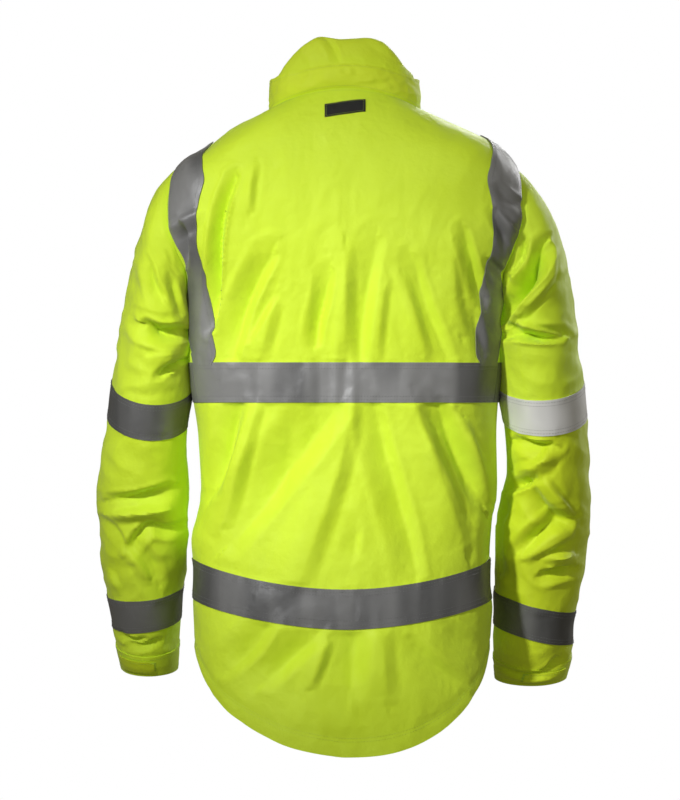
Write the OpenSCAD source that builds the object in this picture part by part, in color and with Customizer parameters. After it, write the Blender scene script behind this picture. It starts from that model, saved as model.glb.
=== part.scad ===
// High-visibility rain coat with a stowed hood, drop tail and silver bands.
// The frame's origin is at the centre back neck, where a hook bears on the hanger loop.
// +Z is up, the coat's front faces -Y, and the wearer's left is +X.

/* [Body] */
// Half width of the body at the chest band
chest_half_w = 191; // [185:1:192]
// Half width across the dropped shoulders
shoulder_half_w = 232; // [228:1:234]
// Half width of the neck opening
neck_half_w = 95; // [88:1:98]
// Length from the neck point to the side hem
side_len = 700; // [690:1:740]
// How far the tail drops below the side hem
tail_drop = 136; // [60:1:160]
// How far the front neck point lies below the back one
neck_drop = 85; // [78:1:90]

/* [Front closure] */
// Depth of the front edge below the neck point's plane at the origin's height
front_y = 128; // [125:1:132]
// Forward lean of the front edge, as a slope
front_slope = 0.123; // [0.115:0.001:0.13]
// Width of the storm flap
flap_w = 62; // [58:1:66]
// Number of snaps on the storm flap
flap_snaps = 4; // [3:1:5]

/* [Sleeves] */
// Half width of the sleeve at the elbow
elbow_half_w = 54; // [50:1:55]
// Half depth of the sleeve at the elbow
elbow_half_d = 65; // [60:1:68]
// Height of the sleeve's end below the neck point
sleeve_end = 738; // [732:1:745]

/* [Bands] */
// Width of the reflective tape
tape_w = 50; // [46:1:52]
// Thickness of the shell fabric
fabric_t = 1.6; // [1.2:0.1:2]
// Thickness of the reflective tape
tape_t = 0.6; // [0.4:0.1:0.8]

/* [Hidden] */

LIME = "greenyellow";
SILVER = "silver";
METAL = "dimgray";
BLACK = "black";

seam = 0.3;      // half of the gap left at a seam, in degrees
zip_gap = 6.5;   // from the front line to a front panel's edge
skin_gap = 0.6;  // gap between a panel and what is sewn on it
hem_z = -side_len;
tail_z = hem_z - tail_drop;
chest_top = -343;
chest_low = chest_top - tape_w;
band_top = -588;
band_low = band_top - tape_w;

// One row of the torso: [row, half width, side z, back z, front z, back y, squareness]
chest_row = 10;
hem_row = 15;
tail_bow = 38;   // how far the hem band dips at the centre back
torso_rows = [
    [0, neck_half_w, -28, 0, -neck_drop, 6, 2.3],
    [1, 126, -42, -22, -105, 19, 2.5],
    [2, 162, -62, -48, -125, 32, 2.8],
    [3, shoulder_half_w - 30, -90, -80, -150, 42, 3.2],
    [4, shoulder_half_w - 9, -124, -118, -175, 49, 3.5],
    [5, shoulder_half_w, -165, -158, -200, 53, 3.6],
    [6, shoulder_half_w - 9, -203, -198, -222, 55, 3.3],
    [7, chest_half_w + 13, -235, -235, -243, 54, 3.0],
    [8, chest_half_w + 6, -265, -265, -265, 52, 2.8],
    [9, chest_half_w + 4, -300, -300, -300, 50, 2.7],
    [10, chest_half_w + 2, chest_top, chest_top, chest_top, 48, 2.6],
    [11, chest_half_w - 4, chest_low, chest_low, chest_low, 46, 2.5],
    [12, chest_half_w - 7, -432, -436, -432, 45, 2.5],
    [13, chest_half_w - 8, -484, -494, -484, 46, 2.4],
    [14, chest_half_w - 6, -540, -562, -540, 50, 2.4],
    [15, chest_half_w - 3, band_top, band_top - tail_bow, band_top, 54, 2.4],
    [16, chest_half_w - 4, band_low, band_low - tail_bow, band_low, 58, 2.4],
    [17, chest_half_w - 5, hem_z, tail_z, hem_z, 64, 2.4]
];
armpit_row = 8;
tip_row = 3.1;       // row of the shoulder tip, where the armhole starts
armhole_half = 32;   // half angle of the armhole at its widest

function column(i) = [for (row = torso_rows) [row[0], row[i]]];
tab_a = column(1);
tab_zs = column(2);
tab_zb = column(3);
tab_zf = column(4);
tab_yb = column(5);
tab_n = column(6);
z_to_row = [for (i = [len(torso_rows) - 1:-1:armpit_row]) [torso_rows[i][2], i]];
function row_at(z) = lookup(z, z_to_row);

// The front edge is one straight line, so that the zip runs straight.
function front_edge_y(z) = -front_y + front_slope * z;
front_tilt = atan(front_slope);
function side_y(r) = -62 - 0.5 * max(0, r - armpit_row);
// A superellipse of unit size: the reach of a point at an angle from its second axis.
function squircle(angle, n) = 1 / pow(pow(abs(sin(angle)), n) + pow(abs(cos(angle)), n), 1 / n);

// A point of the torso's outer surface. angle is 0 at the centre back and 90 at the wearer's left.
function torso(r, angle) =
    let (
        reach = squircle(angle, lookup(r, tab_n)),
        side_share = pow(abs(sin(angle)), 2 + max(0, r - 16)),
        back = abs(angle) <= 90,
        z_end = back ? lookup(r, tab_zb) : lookup(r, tab_zf),
        yc = side_y(r),
        depth = back ? lookup(r, tab_yb) - yc : yc - front_edge_y(lookup(r, tab_zf))
    )
    [
        lookup(r, tab_a) * reach * sin(angle),
        yc + depth * reach * cos(angle),
        lookup(r, tab_zs) * side_share + z_end * (1 - side_share)
    ];

function unit(v) = v / max(norm(v), 1e-9);
function torso_normal(r, angle) =
    let (
        lo = max(0, r - 0.1),
        hi = min(17, r + 0.1),
        across = torso(r, angle + 1) - torso(r, angle - 1),
        down = torso(hi, angle) - torso(lo, angle)
    )
    unit(cross(across, down));
function torso_off(r, angle, off) = torso(r, angle) + off * torso_normal(r, angle);

// Half angle of the armhole at a row, and the row of a station around it.
function armhole_half_at(r) =
    r <= tip_row || r >= armpit_row ? 0
    : armhole_half * sqrt(sin(180 * (r - tip_row) / (armpit_row - tip_row)));
function armhole_row(psi) = tip_row + (armpit_row - tip_row) * (1 - cos(psi)) / 2;

function lerp(a, b, t) = a + (b - a) * t;
function grid(rows, cols) = [for (u = rows) [for (v = cols) [u, v]]];

// A closed sheet between two grids of points, outer and inner, each of n rows by m columns.
module sheet(outer, inner) {
    n = len(outer);
    m = len(outer[0]);
    points = concat([for (row = outer) each row], [for (row = inner) each row]);
    half = n * m;
    function at(i, j, side) = side * half + i * m + j;
    faces = concat(
        [for (i = [0:n - 2], j = [0:m - 2]) each [
            [at(i, j, 0), at(i, j + 1, 0), at(i + 1, j, 0)],
            [at(i, j + 1, 0), at(i + 1, j + 1, 0), at(i + 1, j, 0)],
            [at(i, j, 1), at(i + 1, j, 1), at(i, j + 1, 1)],
            [at(i, j + 1, 1), at(i + 1, j, 1), at(i + 1, j + 1, 1)]
        ]],
        [for (i = [0:n - 2]) each [
            [at(i, 0, 0), at(i + 1, 0, 0), at(i, 0, 1)],
            [at(i + 1, 0, 0), at(i + 1, 0, 1), at(i, 0, 1)],
            [at(i, m - 1, 0), at(i, m - 1, 1), at(i + 1, m - 1, 0)],
            [at(i + 1, m - 1, 0), at(i, m - 1, 1), at(i + 1, m - 1, 1)]
        ]],
        [for (j = [0:m - 2]) each [
            [at(0, j, 0), at(0, j, 1), at(0, j + 1, 0)],
            [at(0, j + 1, 0), at(0, j, 1), at(0, j + 1, 1)],
            [at(n - 1, j, 0), at(n - 1, j + 1, 0), at(n - 1, j, 1)],
            [at(n - 1, j + 1, 0), at(n - 1, j + 1, 1), at(n - 1, j, 1)]
        ]]
    );
    polyhedron(points, faces, convexity = 8);
}

// A closed wall between an outer and an inner tube, each a list of rings.
module tube(outer, inner) {
    n = len(outer);
    m = len(outer[0]);
    points = concat([for (row = outer) each row], [for (row = inner) each row]);
    half = n * m;
    function at(i, j, side) = side * half + i * m + (j % m);
    faces = concat(
        [for (i = [0:n - 2], j = [0:m - 1]) each [
            [at(i, j, 0), at(i, j + 1, 0), at(i + 1, j, 0)],
            [at(i, j + 1, 0), at(i + 1, j + 1, 0), at(i + 1, j, 0)],
            [at(i, j, 1), at(i + 1, j, 1), at(i, j + 1, 1)],
            [at(i, j + 1, 1), at(i + 1, j, 1), at(i + 1, j + 1, 1)]
        ]],
        [for (j = [0:m - 1]) each [
            [at(0, j, 0), at(0, j, 1), at(0, j + 1, 0)],
            [at(0, j + 1, 0), at(0, j, 1), at(0, j + 1, 1)],
            [at(n - 1, j, 0), at(n - 1, j + 1, 0), at(n - 1, j, 1)],
            [at(n - 1, j + 1, 0), at(n - 1, j + 1, 1), at(n - 1, j, 1)]
        ]]
    );
    polyhedron(points, faces, convexity = 8);
}

// ---- Panels -------------------------------------------------------------

shoulder_rows = [tip_row, 3.4, 4, 5, 6, 7, 7.7, armpit_row];
upper_rows = concat([0, 1, 2, 2.6], shoulder_rows, [9, chest_row, chest_row + 0.49]);
lower_rows = concat([chest_row + 0.51], [for (i = [11:16]) i], [16.5, 17]);
front_rows = concat([0, 1, 2, 2.6], shoulder_rows, [for (i = [9:17]) i]);
// Angle at which a front edge lies a given distance from the front line.
function edge_angle(r, gap) = 180 - asin(gap / lookup(r, tab_a));

// A panel from one side to the other across the back, cut out for the armholes.
module back_panel(rows, n, off = 0, t = fabric_t) {
    function spot(r, j, d) = torso_off(r, (90 - armhole_half_at(r) - seam) * (2 * j / n - 1), d);
    sheet([for (r = rows) [for (j = [0:n]) spot(r, j, off)]],
          [for (r = rows) [for (j = [0:n]) spot(r, j, off - t)]]);
}

// A panel from the left side to the front edge, cut out for the armhole.
module front_panel(rows, n, gap = zip_gap, off = 0, t = fabric_t) {
    function spot(r, j, d) =
        torso_off(r, lerp(90 + armhole_half_at(r) + seam, edge_angle(r, gap), j / n), d);
    sheet([for (r = rows) [for (j = [0:n]) spot(r, j, off)]],
          [for (r = rows) [for (j = [0:n]) spot(r, j, off - t)]]);
}

module mirror_x() { mirror([1, 0, 0]) children(); }

module back_upper() { color(LIME) back_panel(upper_rows, 28); }
module back_lower() { color(LIME) back_panel(lower_rows, 24); }
module left_front() { color(LIME) front_panel(front_rows, 13); }
module right_front() { color(LIME) mirror_x() front_panel(front_rows, 13); }

lining_off = -4;
lining_t = 1;
lining_rows = concat([1, 2], shoulder_rows, [for (i = [9:16]) i], [16.6]);
lining_gap = 22;  // from the front line to the lining's edge
module body_lining() {
    color(BLACK) {
        back_panel(lining_rows, 24, lining_off, lining_t);
        front_panel(lining_rows, 12, lining_gap, lining_off, lining_t);
        mirror_x() front_panel(lining_rows, 12, lining_gap, lining_off, lining_t);
    }
}

// ---- Collar, hood, label and loop --------------------------------------

collar_t = 2.4;
collar_gap = 0.8;  // gap above the neck seam
function collar_top(angle) =
    let (s = pow(abs(sin(angle)), 2))
    abs(angle) <= 90 ? 31 * (1 - s) + 9 * s : -8 * (1 - s) + 9 * s;
// One point of the collar's outer wall: h is 0 at the seam and 1 at the top edge.
function collar_point(h, angle, off) =
    let (
        base = torso(0, angle),
        z = lerp(base[2] + collar_gap, collar_top(angle), h),
        bulge = 4 * sin(180 * h),
        half_w = lerp(neck_half_w, neck_half_w - 5, h) + off + (abs(angle) < 90 ? bulge : bulge * abs(sin(angle))),
        reach = squircle(angle, 2.3),
        back = abs(angle) <= 90,
        yb = lerp(6, 3, h) + bulge + off,
        yc = side_y(0),
        depth = back ? yb - yc : yc - front_edge_y(z) + off
    )
    [
        half_w * reach * sin(angle),
        yc + depth * reach * cos(angle),
        z
    ];
module collar() {
    reach = 180 - asin(zip_gap / (neck_half_w - 8));
    rows = [0, 0.25, 0.5, 0.75, 1];
    angles = [for (j = [-14:14]) reach * j / 14];
    color(LIME) sheet([for (h = rows) [for (a = angles) collar_point(h, a, 0)]],
                      [for (h = rows) [for (a = angles) collar_point(h, a, -collar_t)]]);
}

// The rolled hood is one bundle that thins towards its two ends.
hood_sides = 10;
hood_reach = 100;
hood_low = -2;
hood_tops = [[0, 62], [24, 61], [34, 56], [44, 50], [55, 40], [70, 25], [85, 12], [100, 6]];
function hood_ring(angle) =
    let (
        top = lookup(abs(angle), hood_tops),
        share = 1 - pow(abs(angle) / (hood_reach + 8), 3),
        half_h = (top - hood_low) / 2,
        half_t = 3 + 9 * share,
        zc = (top + hood_low) / 2,
        across = [sin(angle) * 80, side_y(0) + cos(angle) * 41],
        out = unit([sin(angle), cos(angle)])
    )
    [for (k = [0:hood_sides - 1]) let (
        a = 360 * k / hood_sides,
        lean = -6 * (sin(a) + 1) * max(0, cos(angle)),
        shift = out * half_t * cos(a)
    ) [across[0] + shift[0], across[1] + shift[1] + lean, zc + half_h * sin(a)]];
module closed_loft(rings) {
    n = len(rings);
    m = len(rings[0]);
    faces = concat(
        [for (i = [0:n - 2], j = [0:m - 1]) each [
            [i * m + j, i * m + (j + 1) % m, (i + 1) * m + j],
            [i * m + (j + 1) % m, (i + 1) * m + (j + 1) % m, (i + 1) * m + j]
        ]],
        [[for (j = [m - 1:-1:0]) j]],
        [[for (j = [0:m - 1]) (n - 1) * m + j]]
    );
    polyhedron([for (ring = rings) each ring], faces, convexity = 6);
}
module stowed_hood() {
    color(LIME) closed_loft([for (i = [0:20]) hood_ring(lerp(-hood_reach, hood_reach, i / 20))]);
}

label_w = 49;
label_h = 15;
module neck_label() {
    r_top = 0.72;
    rows = [r_top, 1, r_top + label_h / 24];
    half = asin(label_w / 2 / 126);
    angles = [for (j = [-4:4]) half * j / 4];
    color(BLACK) sheet([for (r = rows) [for (a = angles) torso_off(r, a, skin_gap + 0.8)]],
                       [for (r = rows) [for (a = angles) torso_off(r, a, skin_gap)]]);
}

// A short strip sewn at both ends inside the back neck. It bows forward to take a hook.
loop_half_w = 32;
loop_bow = 11;
loop_t = 1.4;
loop_h = 8;
loop_z = -loop_h / 2;
loop_y = 0.6;
function bow(x, off) = [x, loop_y - off - (loop_bow - loop_t) * pow(cos(90 * x / loop_half_w), 2)];
module hanger_loop() {
    xs = [for (i = [-8:8]) loop_half_w * i / 8];
    color(BLACK) translate([0, 0, loop_z - loop_h / 2]) linear_extrude(loop_h)
        polygon(concat([for (x = xs) bow(x, 0)],
                       [for (i = [len(xs) - 1:-1:0]) bow(xs[i], loop_t)]));
}

// ---- Reflective bands on the body --------------------------------------

module torso_band(row, from, to, n, off = skin_gap) {
    rows = [row, row + 0.5, row + 1];
    angles = [for (j = [0:n]) lerp(from, to, j / n)];
    sheet([for (r = rows) [for (a = angles) torso_off(r, a, off + tape_t)]],
          [for (r = rows) [for (a = angles) torso_off(r, a, off)]]);
}
band_split = 70;  // angle where the back tapes meet the front tapes
module chest_tape_back() {
    color(SILVER) torso_band(chest_row, -band_split, band_split, 22);
}
module chest_tape_left() {
    color(SILVER) torso_band(chest_row, band_split + seam, edge_angle(chest_row, zip_gap), 16);
}
module chest_tape_right() { mirror_x() chest_tape_left(); }
module hem_tape_back() {
    color(SILVER) torso_band(hem_row, -90 + seam, 90 - seam, 24);
}
module hem_tape_left() {
    color(SILVER) torso_band(hem_row, 90 + seam, edge_angle(hem_row, zip_gap), 13);
}
module hem_tape_right() { mirror_x() hem_tape_left(); }

// Stations of a shoulder tape from the back chest band to the ridge:
// [outer row, outer angle, inner row, inner angle]
brace_stations = [
    [9.95, 69, 9.95, 52],
    [9, 74, 9, 53],
    [8, 76, 8, 53],
    [7.5, 69, 7.5, 51],
    [7, 63, 7, 49],
    [6, 56.5, 6, 46],
    [5, 56.5, 5, 43],
    [4, 63, 4, 43],
    [3.6, 70, 3.4, 47],
    [3.35, 75, 2.95, 53],
    [3.2, 79, 2.6, 61],
    [3.1, 83, 2.35, 70],
    [3.05, 87, 2.2, 80],
    [3.02, 90, 2.1, 90]
];
brace_front = [for (i = [len(brace_stations) - 2:-1:0]) let (s = brace_stations[i])
    [s[0], 180 - s[1], s[2], 180 - s[3]]];
brace_gaps = [[2, 2.6], [4, 2.4], [5, 1.4], [10, 1.2]];
module left_brace_tape() {
    stations = concat(brace_stations, brace_front);
    shares = [0, 0.25, 0.5, 0.75, 1];
    function spot(s, w, off) =
        let (r = lerp(s[0], s[2], w))
        torso_off(r, lerp(s[1], s[3], w), lookup(r, brace_gaps) + off);
    color(SILVER) sheet([for (s = stations) [for (w = shares) spot(s, w, 0)]],
                        [for (s = stations) [for (w = shares) spot(s, w, tape_t)]]);
}
module right_brace_tape() { mirror_x() left_brace_tape(); }

// ---- Front zip ----------------------------------------------------------

zip_top = -14;
zip_low = hem_z + 12;
teeth_half_w = 2.6;
slider_len = 12;

// Children are drawn in the closure's own frame: origin on the front edge line at height z,
// +Y inward, +Z up along the line.
module on_front(z) {
    translate([0, front_edge_y(z), z]) rotate([-front_tilt, 0, 0]) children();
}
zip_len = (zip_top - zip_low) / cos(front_tilt);
module zip_tapes() {
    color(LIME) on_front(zip_low) for (side = [-1, 1])
        translate([side > 0 ? 3.6 : -17.6, 3.3, 0]) cube([14, 0.8, zip_len]);
}
module zip_teeth() {
    color(BLACK) on_front(zip_low) for (side = [-1, 1])
        translate([side > 0 ? 0.7 : -0.7 - teeth_half_w, 1.6, 8]) cube([teeth_half_w, 2.4, zip_len - 12]);
}
module zip_stops() {
    color(METAL) {
        on_front(zip_low) translate([-3.3, 0.6, 0]) cube([6.6, 4, 7]);
        on_front(zip_top) for (side = [-1, 1])
            translate([side * 2 - 1.2, 1.2, -3]) cube([2.4, 2.8, 3]);
    }
}
pin_y = -4.8;
pin_r = 0.7;
slider_drop = 5;  // from the zip's top to the slider's top
module zip_slider() {
    color(METAL) on_front(zip_top) translate([0, 0, -slider_drop - slider_len]) {
        translate([-5.5, -1.2, 0]) cube([11, 1.8, slider_len]);
        translate([-5.5, 4.8, 0]) cube([11, 1.2, slider_len]);
        translate([-0.35, 0.5, slider_len - 4]) cube([0.7, 4.5, 4]);
        for (side = [-1, 1])
            translate([side * 3.4 - 0.6, pin_y - 1.2, slider_len - 4.4]) cube([1.2, 4.8, 2.8]);
        translate([-3.6, pin_y, slider_len - 3]) rotate([0, 90, 0]) cylinder(r = pin_r, h = 7.2, $fn = 32);
    }
}
pull_len = 30;
module zip_pull() {
    color(BLACK) on_front(zip_top) translate([0, pin_y, -slider_drop - 3]) difference() {
        union() {
            translate([-2.2, 0, 0]) rotate([0, 90, 0]) cylinder(r = 1.3, h = 4.4, $fn = 32);
            translate([-2.2, -0.7, -6]) cube([4.4, 1.4, 6]);
            translate([-3.6, -0.7, -pull_len]) cube([7.2, 1.4, pull_len - 5]);
        }
        translate([-4, 0, 0]) rotate([0, 90, 0]) cylinder(r = pin_r + 0.06, h = 8, $fn = 32);
    }
}

// ---- Storm flap ---------------------------------------------------------

flap_top = -neck_drop - 12;
flap_low = hem_z + 6;
flap_len = (flap_top - flap_low) / cos(front_tilt);
flap_edge = 32;   // where the flap is sewn on, to the wearer's left
flap_lift = 7;    // height of the flap over the front edge
flap_t = 1.4;
snap_r = 7;
snap_x = flap_edge - flap_w + 10;
module storm_flap() {
    color(LIME) on_front(flap_low) linear_extrude(flap_len) polygon([
        [flap_edge, -1.4], [flap_edge - 8, -flap_lift], [flap_edge - flap_w, -flap_lift],
        [flap_edge - flap_w, -flap_lift - flap_t], [flap_edge - 8.6, -flap_lift - flap_t],
        [flap_edge, -2.8]
    ]);
}
// The bands carry on across the flap, so that they ring the body.
module flap_tapes() {
    color(SILVER) for (top = [chest_top, band_top])
        on_front(top - tape_w) translate([flap_edge - flap_w + 1, -flap_lift - flap_t - 0.3 - tape_t, 0])
            cube([flap_w - 10, tape_t, tape_w / cos(front_tilt)]);
}
function snap_z(i) = lerp(40, flap_len - 22, i / (flap_snaps - 1));
module flap_snap_caps() {
    color(METAL) on_front(flap_low) for (i = [0:flap_snaps - 1]) translate([snap_x, 0, snap_z(i)]) {
        translate([0, -flap_lift - flap_t - 0.3, 0]) rotate([90, 0, 0]) cylinder(r = snap_r, h = 1.8, $fn = 40);
        translate([0, -flap_lift + 3, 0]) rotate([90, 0, 0]) cylinder(r = 5, h = 2.7, $fn = 40);
    }
}
module flap_snap_sockets() {
    color(METAL) on_front(flap_low) for (i = [0:flap_snaps - 1]) translate([snap_x, 0, snap_z(i)])
        translate([0, -1.3, 0]) rotate([90, 0, 0]) cylinder(r = 6, h = 2.2, $fn = 40);
}

// ---- Pockets ------------------------------------------------------------

pocket_from = 120;
pocket_to = 160;
pocket_top = -440;
pocket_low = -578;
pocket_depth = 8;
pocket_flap_top = -428;
pocket_flap_low = -480;
pocket_cloth = 1.2;
pocket_flap_off = pocket_depth + 3;
// The bag stands off the front panel, closed at its sides and bottom and open at its top.
module left_pocket() {
    n = 8;
    m = 4;
    function puff(j, k) = j == 0 || j == n || k == m ? 0 : pocket_depth;
    function spot(j, k, off) = torso_off(
        row_at(lerp(pocket_top, pocket_low, k / m)),
        lerp(pocket_from, pocket_to, j / n), skin_gap + puff(j, k) + off);
    color(LIME) sheet([for (k = [0:m]) [for (j = [0:n]) spot(j, k, pocket_cloth)]],
                      [for (k = [0:m]) [for (j = [0:n]) spot(j, k, 0)]]);
}
// The flap is sewn on along its top and hangs over the bag's mouth.
module left_pocket_flap() {
    n = 8;
    flap_rows = [[pocket_flap_top, 1], [pocket_flap_top - 7, pocket_flap_off - 0.6],
                 [pocket_top - 18, pocket_flap_off], [pocket_flap_low, pocket_flap_off]];
    function spot(row, j, off) = torso_off(
        row_at(row[0]), lerp(pocket_from - 1.5, pocket_to + 1.5, j / n), row[1] + off);
    color(LIME) sheet([for (row = flap_rows) [for (j = [0:n]) spot(row, j, pocket_cloth)]],
                      [for (row = flap_rows) [for (j = [0:n]) spot(row, j, 0)]]);
}
pocket_mid = (pocket_from + pocket_to) / 2;
module left_pocket_snap() {
    r = row_at(pocket_flap_low + 14);
    n = torso_normal(r, pocket_mid);
    color(METAL) translate(torso_off(r, pocket_mid, pocket_flap_off + pocket_cloth + 0.3))
        rotate([0, 0, atan2(n[1], n[0])]) rotate([0, 90 - asin(n[2]), 0])
            cylinder(r = snap_r, h = 1.8, $fn = 40);
}
module right_pocket() { mirror_x() left_pocket(); }
module right_pocket_flap() { mirror_x() left_pocket_flap(); }
module right_pocket_snap() { mirror_x() left_pocket_snap(); }

// ---- Sleeves ------------------------------------------------------------

// [z, centre x, centre y, half width, half depth]
sleeve_rows = [
    [-sleeve_end, 241, -163, elbow_half_w - 17, elbow_half_d - 18],
    [-700, 244, -153, elbow_half_w - 12, elbow_half_d - 15],
    [-660, 246, -141, elbow_half_w - 8, elbow_half_d - 12],
    [-600, 250, -125, elbow_half_w - 1, elbow_half_d - 8],
    [-540, 251, -110, elbow_half_w + 1, elbow_half_d - 4],
    [-470, 250, -95, elbow_half_w, elbow_half_d],
    [-400, 246, -82, elbow_half_w - 2, elbow_half_d + 5],
    [-330, 245, -72, elbow_half_w - 9, elbow_half_d + 11]
];
ring_tilt = 5;  // how much further the bands tip back than the sleeve's own lean
function sleeve_column(i) = [for (row = sleeve_rows) [row[0], row[i]]];
tab_sx = sleeve_column(1);
tab_sy = sleeve_column(2);
tab_sw = sleeve_column(3);
tab_sd = sleeve_column(4);
function sleeve_lean(z) = ring_tilt + atan2(lookup(z + 20, tab_sy) - lookup(z - 20, tab_sy), 40);
// A point of the sleeve. psi is 0 at the outside, 90 at the back and 180 at the body's side.
function sleeve(z, psi, off) =
    let (lean = sleeve_lean(z), depth = (lookup(z, tab_sd) + off) * sin(psi))
    [
        lookup(z, tab_sx) + (lookup(z, tab_sw) + off) * cos(psi),
        lookup(z, tab_sy) + depth,
        z - depth * tan(lean)
    ];
function wrap(angle) = angle > 180 ? angle - 360 : angle;
// The armhole's edge, pushed off along the torso's surface normal.
function armhole(psi, off) =
    let (p = wrap(psi), r = armhole_row(abs(p)), a = 90 - sign(p) * armhole_half_at(r))
    torso(r, a) + off * unit([0.5 + 0.5 * cos(psi), 1.5 * sin(psi), 1.4 * cos(psi)]);
head_low = -330;
function bezier(p0, p1, p2, p3, t) =
    let (u = 1 - t) u * u * u * p0 + 3 * u * u * t * p1 + 3 * u * t * t * p2 + t * t * t * p3;
function sleeve_head_point(t, psi, off) =
    let (
        a = armhole(psi, off),
        b = sleeve(head_low, psi, off),
        c = cos(psi)
    )
    bezier(a, a + [39 + 36 * c, 8 * sin(psi), -40 - 20 * c], b + [0, 8, 60 + 40 * c], b, t);

sleeve_sides = 20;
psis = [for (k = [0:sleeve_sides - 1]) 360 * k / sleeve_sides];
sleeve_gap = 0.5;
module sleeve_tube(zs, off = 0, t = fabric_t) {
    tube([for (z = zs) [for (p = psis) sleeve(z, p, off)]],
         [for (z = zs) [for (p = psis) sleeve(z, p, off - t)]]);
}
arm_low = -442;
elbow_low = -580;
cuff_top = -700;
arm_band_top = -372;
wrist_band_top = -632;
module left_sleeve_head() {
    ts = [0.012, 0.12, 0.27, 0.45, 0.65, 0.85, 1];
    color(LIME) tube([for (t = ts) [for (p = psis) sleeve_head_point(t, p, 0)]],
                     [for (t = ts) [for (p = psis) sleeve_head_point(t, p, -fabric_t)]]);
}
module left_upper_sleeve() {
    color(LIME) sleeve_tube([head_low - sleeve_gap, -365, -400, arm_low + sleeve_gap]);
}
module left_elbow_sleeve() {
    color(LIME) sleeve_tube([arm_low - sleeve_gap, -470, -505, -540, elbow_low + sleeve_gap]);
}
module left_forearm_sleeve() {
    color(LIME) sleeve_tube([elbow_low - sleeve_gap, -600, -660, cuff_top + sleeve_gap]);
}
module left_cuff() { color(LIME) sleeve_tube([cuff_top - sleeve_gap, -718, -sleeve_end], 0, 2.2); }
module sleeve_band(top, zs) {
    color(SILVER) sleeve_tube(concat([top], zs, [top - tape_w]), skin_gap + 0.3 + tape_t, tape_t);
}
module left_arm_tape() { sleeve_band(arm_band_top, [-400]); }
module left_wrist_tape() { sleeve_band(wrist_band_top, [-660]); }
tab_sewn = 36;
tab_free = 102;
tab_top = -706;
tab_low = -728;
module cuff_strip(from, to, top, low, off, t) {
    angles = [for (j = [0:8]) lerp(from, to, j / 8)];
    sheet([for (z = [top, low]) [for (a = angles) sleeve(z, a, off + t)]],
          [for (z = [top, low]) [for (a = angles) sleeve(z, a, off)]]);
}
module left_cuff_patch() { color(LIME) cuff_strip(58, tab_free + 4, tab_top - 2, tab_low + 2, 0.5, 0.6); }
module left_cuff_tab() { color(LIME) cuff_strip(tab_sewn, tab_free, tab_top, tab_low, 1.6, 1.4); }
module right_sleeve_head() { mirror_x() left_sleeve_head(); }
module right_upper_sleeve() { mirror_x() left_upper_sleeve(); }
module right_elbow_sleeve() { mirror_x() left_elbow_sleeve(); }
module right_forearm_sleeve() { mirror_x() left_forearm_sleeve(); }
module right_cuff() { mirror_x() left_cuff(); }
module right_arm_tape() { mirror_x() left_arm_tape(); }
module right_wrist_tape() { mirror_x() left_wrist_tape(); }
module right_cuff_patch() { mirror_x() left_cuff_patch(); }
module right_cuff_tab() { mirror_x() left_cuff_tab(); }

// ---- Nodes --------------------------------------------------------------

back_upper();
back_lower();
left_front();
right_front();
body_lining();
collar();
stowed_hood();
neck_label();
hanger_loop();
chest_tape_back();
chest_tape_left();
chest_tape_right();
hem_tape_back();
hem_tape_left();
hem_tape_right();
left_brace_tape();
right_brace_tape();
zip_tapes();
zip_teeth();
zip_stops();
zip_slider();
zip_pull();
storm_flap();
flap_tapes();
flap_snap_caps();
flap_snap_sockets();
left_pocket();
left_pocket_flap();
left_pocket_snap();
right_pocket();
right_pocket_flap();
right_pocket_snap();
left_sleeve_head();
left_upper_sleeve();
left_arm_tape();
left_elbow_sleeve();
left_forearm_sleeve();
left_wrist_tape();
left_cuff();
left_cuff_patch();
left_cuff_tab();
right_sleeve_head();
right_upper_sleeve();
right_arm_tape();
right_elbow_sleeve();
right_forearm_sleeve();
right_wrist_tape();
right_cuff();
right_cuff_patch();
right_cuff_tab();
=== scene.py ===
import math

import bpy
import numpy as np
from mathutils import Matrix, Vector


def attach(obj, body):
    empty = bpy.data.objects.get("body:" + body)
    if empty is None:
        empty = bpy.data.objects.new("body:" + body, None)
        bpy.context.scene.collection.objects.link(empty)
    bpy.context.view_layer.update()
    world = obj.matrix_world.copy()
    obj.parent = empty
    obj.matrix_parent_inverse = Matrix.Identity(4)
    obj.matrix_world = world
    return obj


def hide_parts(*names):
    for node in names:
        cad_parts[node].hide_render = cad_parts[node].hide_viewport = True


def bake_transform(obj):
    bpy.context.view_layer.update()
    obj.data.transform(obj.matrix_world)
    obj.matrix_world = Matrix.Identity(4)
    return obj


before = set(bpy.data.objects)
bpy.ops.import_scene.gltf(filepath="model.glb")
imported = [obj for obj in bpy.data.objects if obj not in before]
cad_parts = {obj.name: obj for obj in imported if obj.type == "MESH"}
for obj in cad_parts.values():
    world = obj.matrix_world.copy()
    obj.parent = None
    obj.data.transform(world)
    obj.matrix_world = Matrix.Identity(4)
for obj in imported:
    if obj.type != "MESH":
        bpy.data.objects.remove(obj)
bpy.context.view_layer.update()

# Lengths here are millimetres until a mesh is made. X is the wearer's left, Y the
# back and Z up. Angles on the trunk are 0 at the back, 90 at the left side and
# 180 at the front line.
MM = 0.001
SIDES = ((1, "left"), (-1, "right"))

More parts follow.
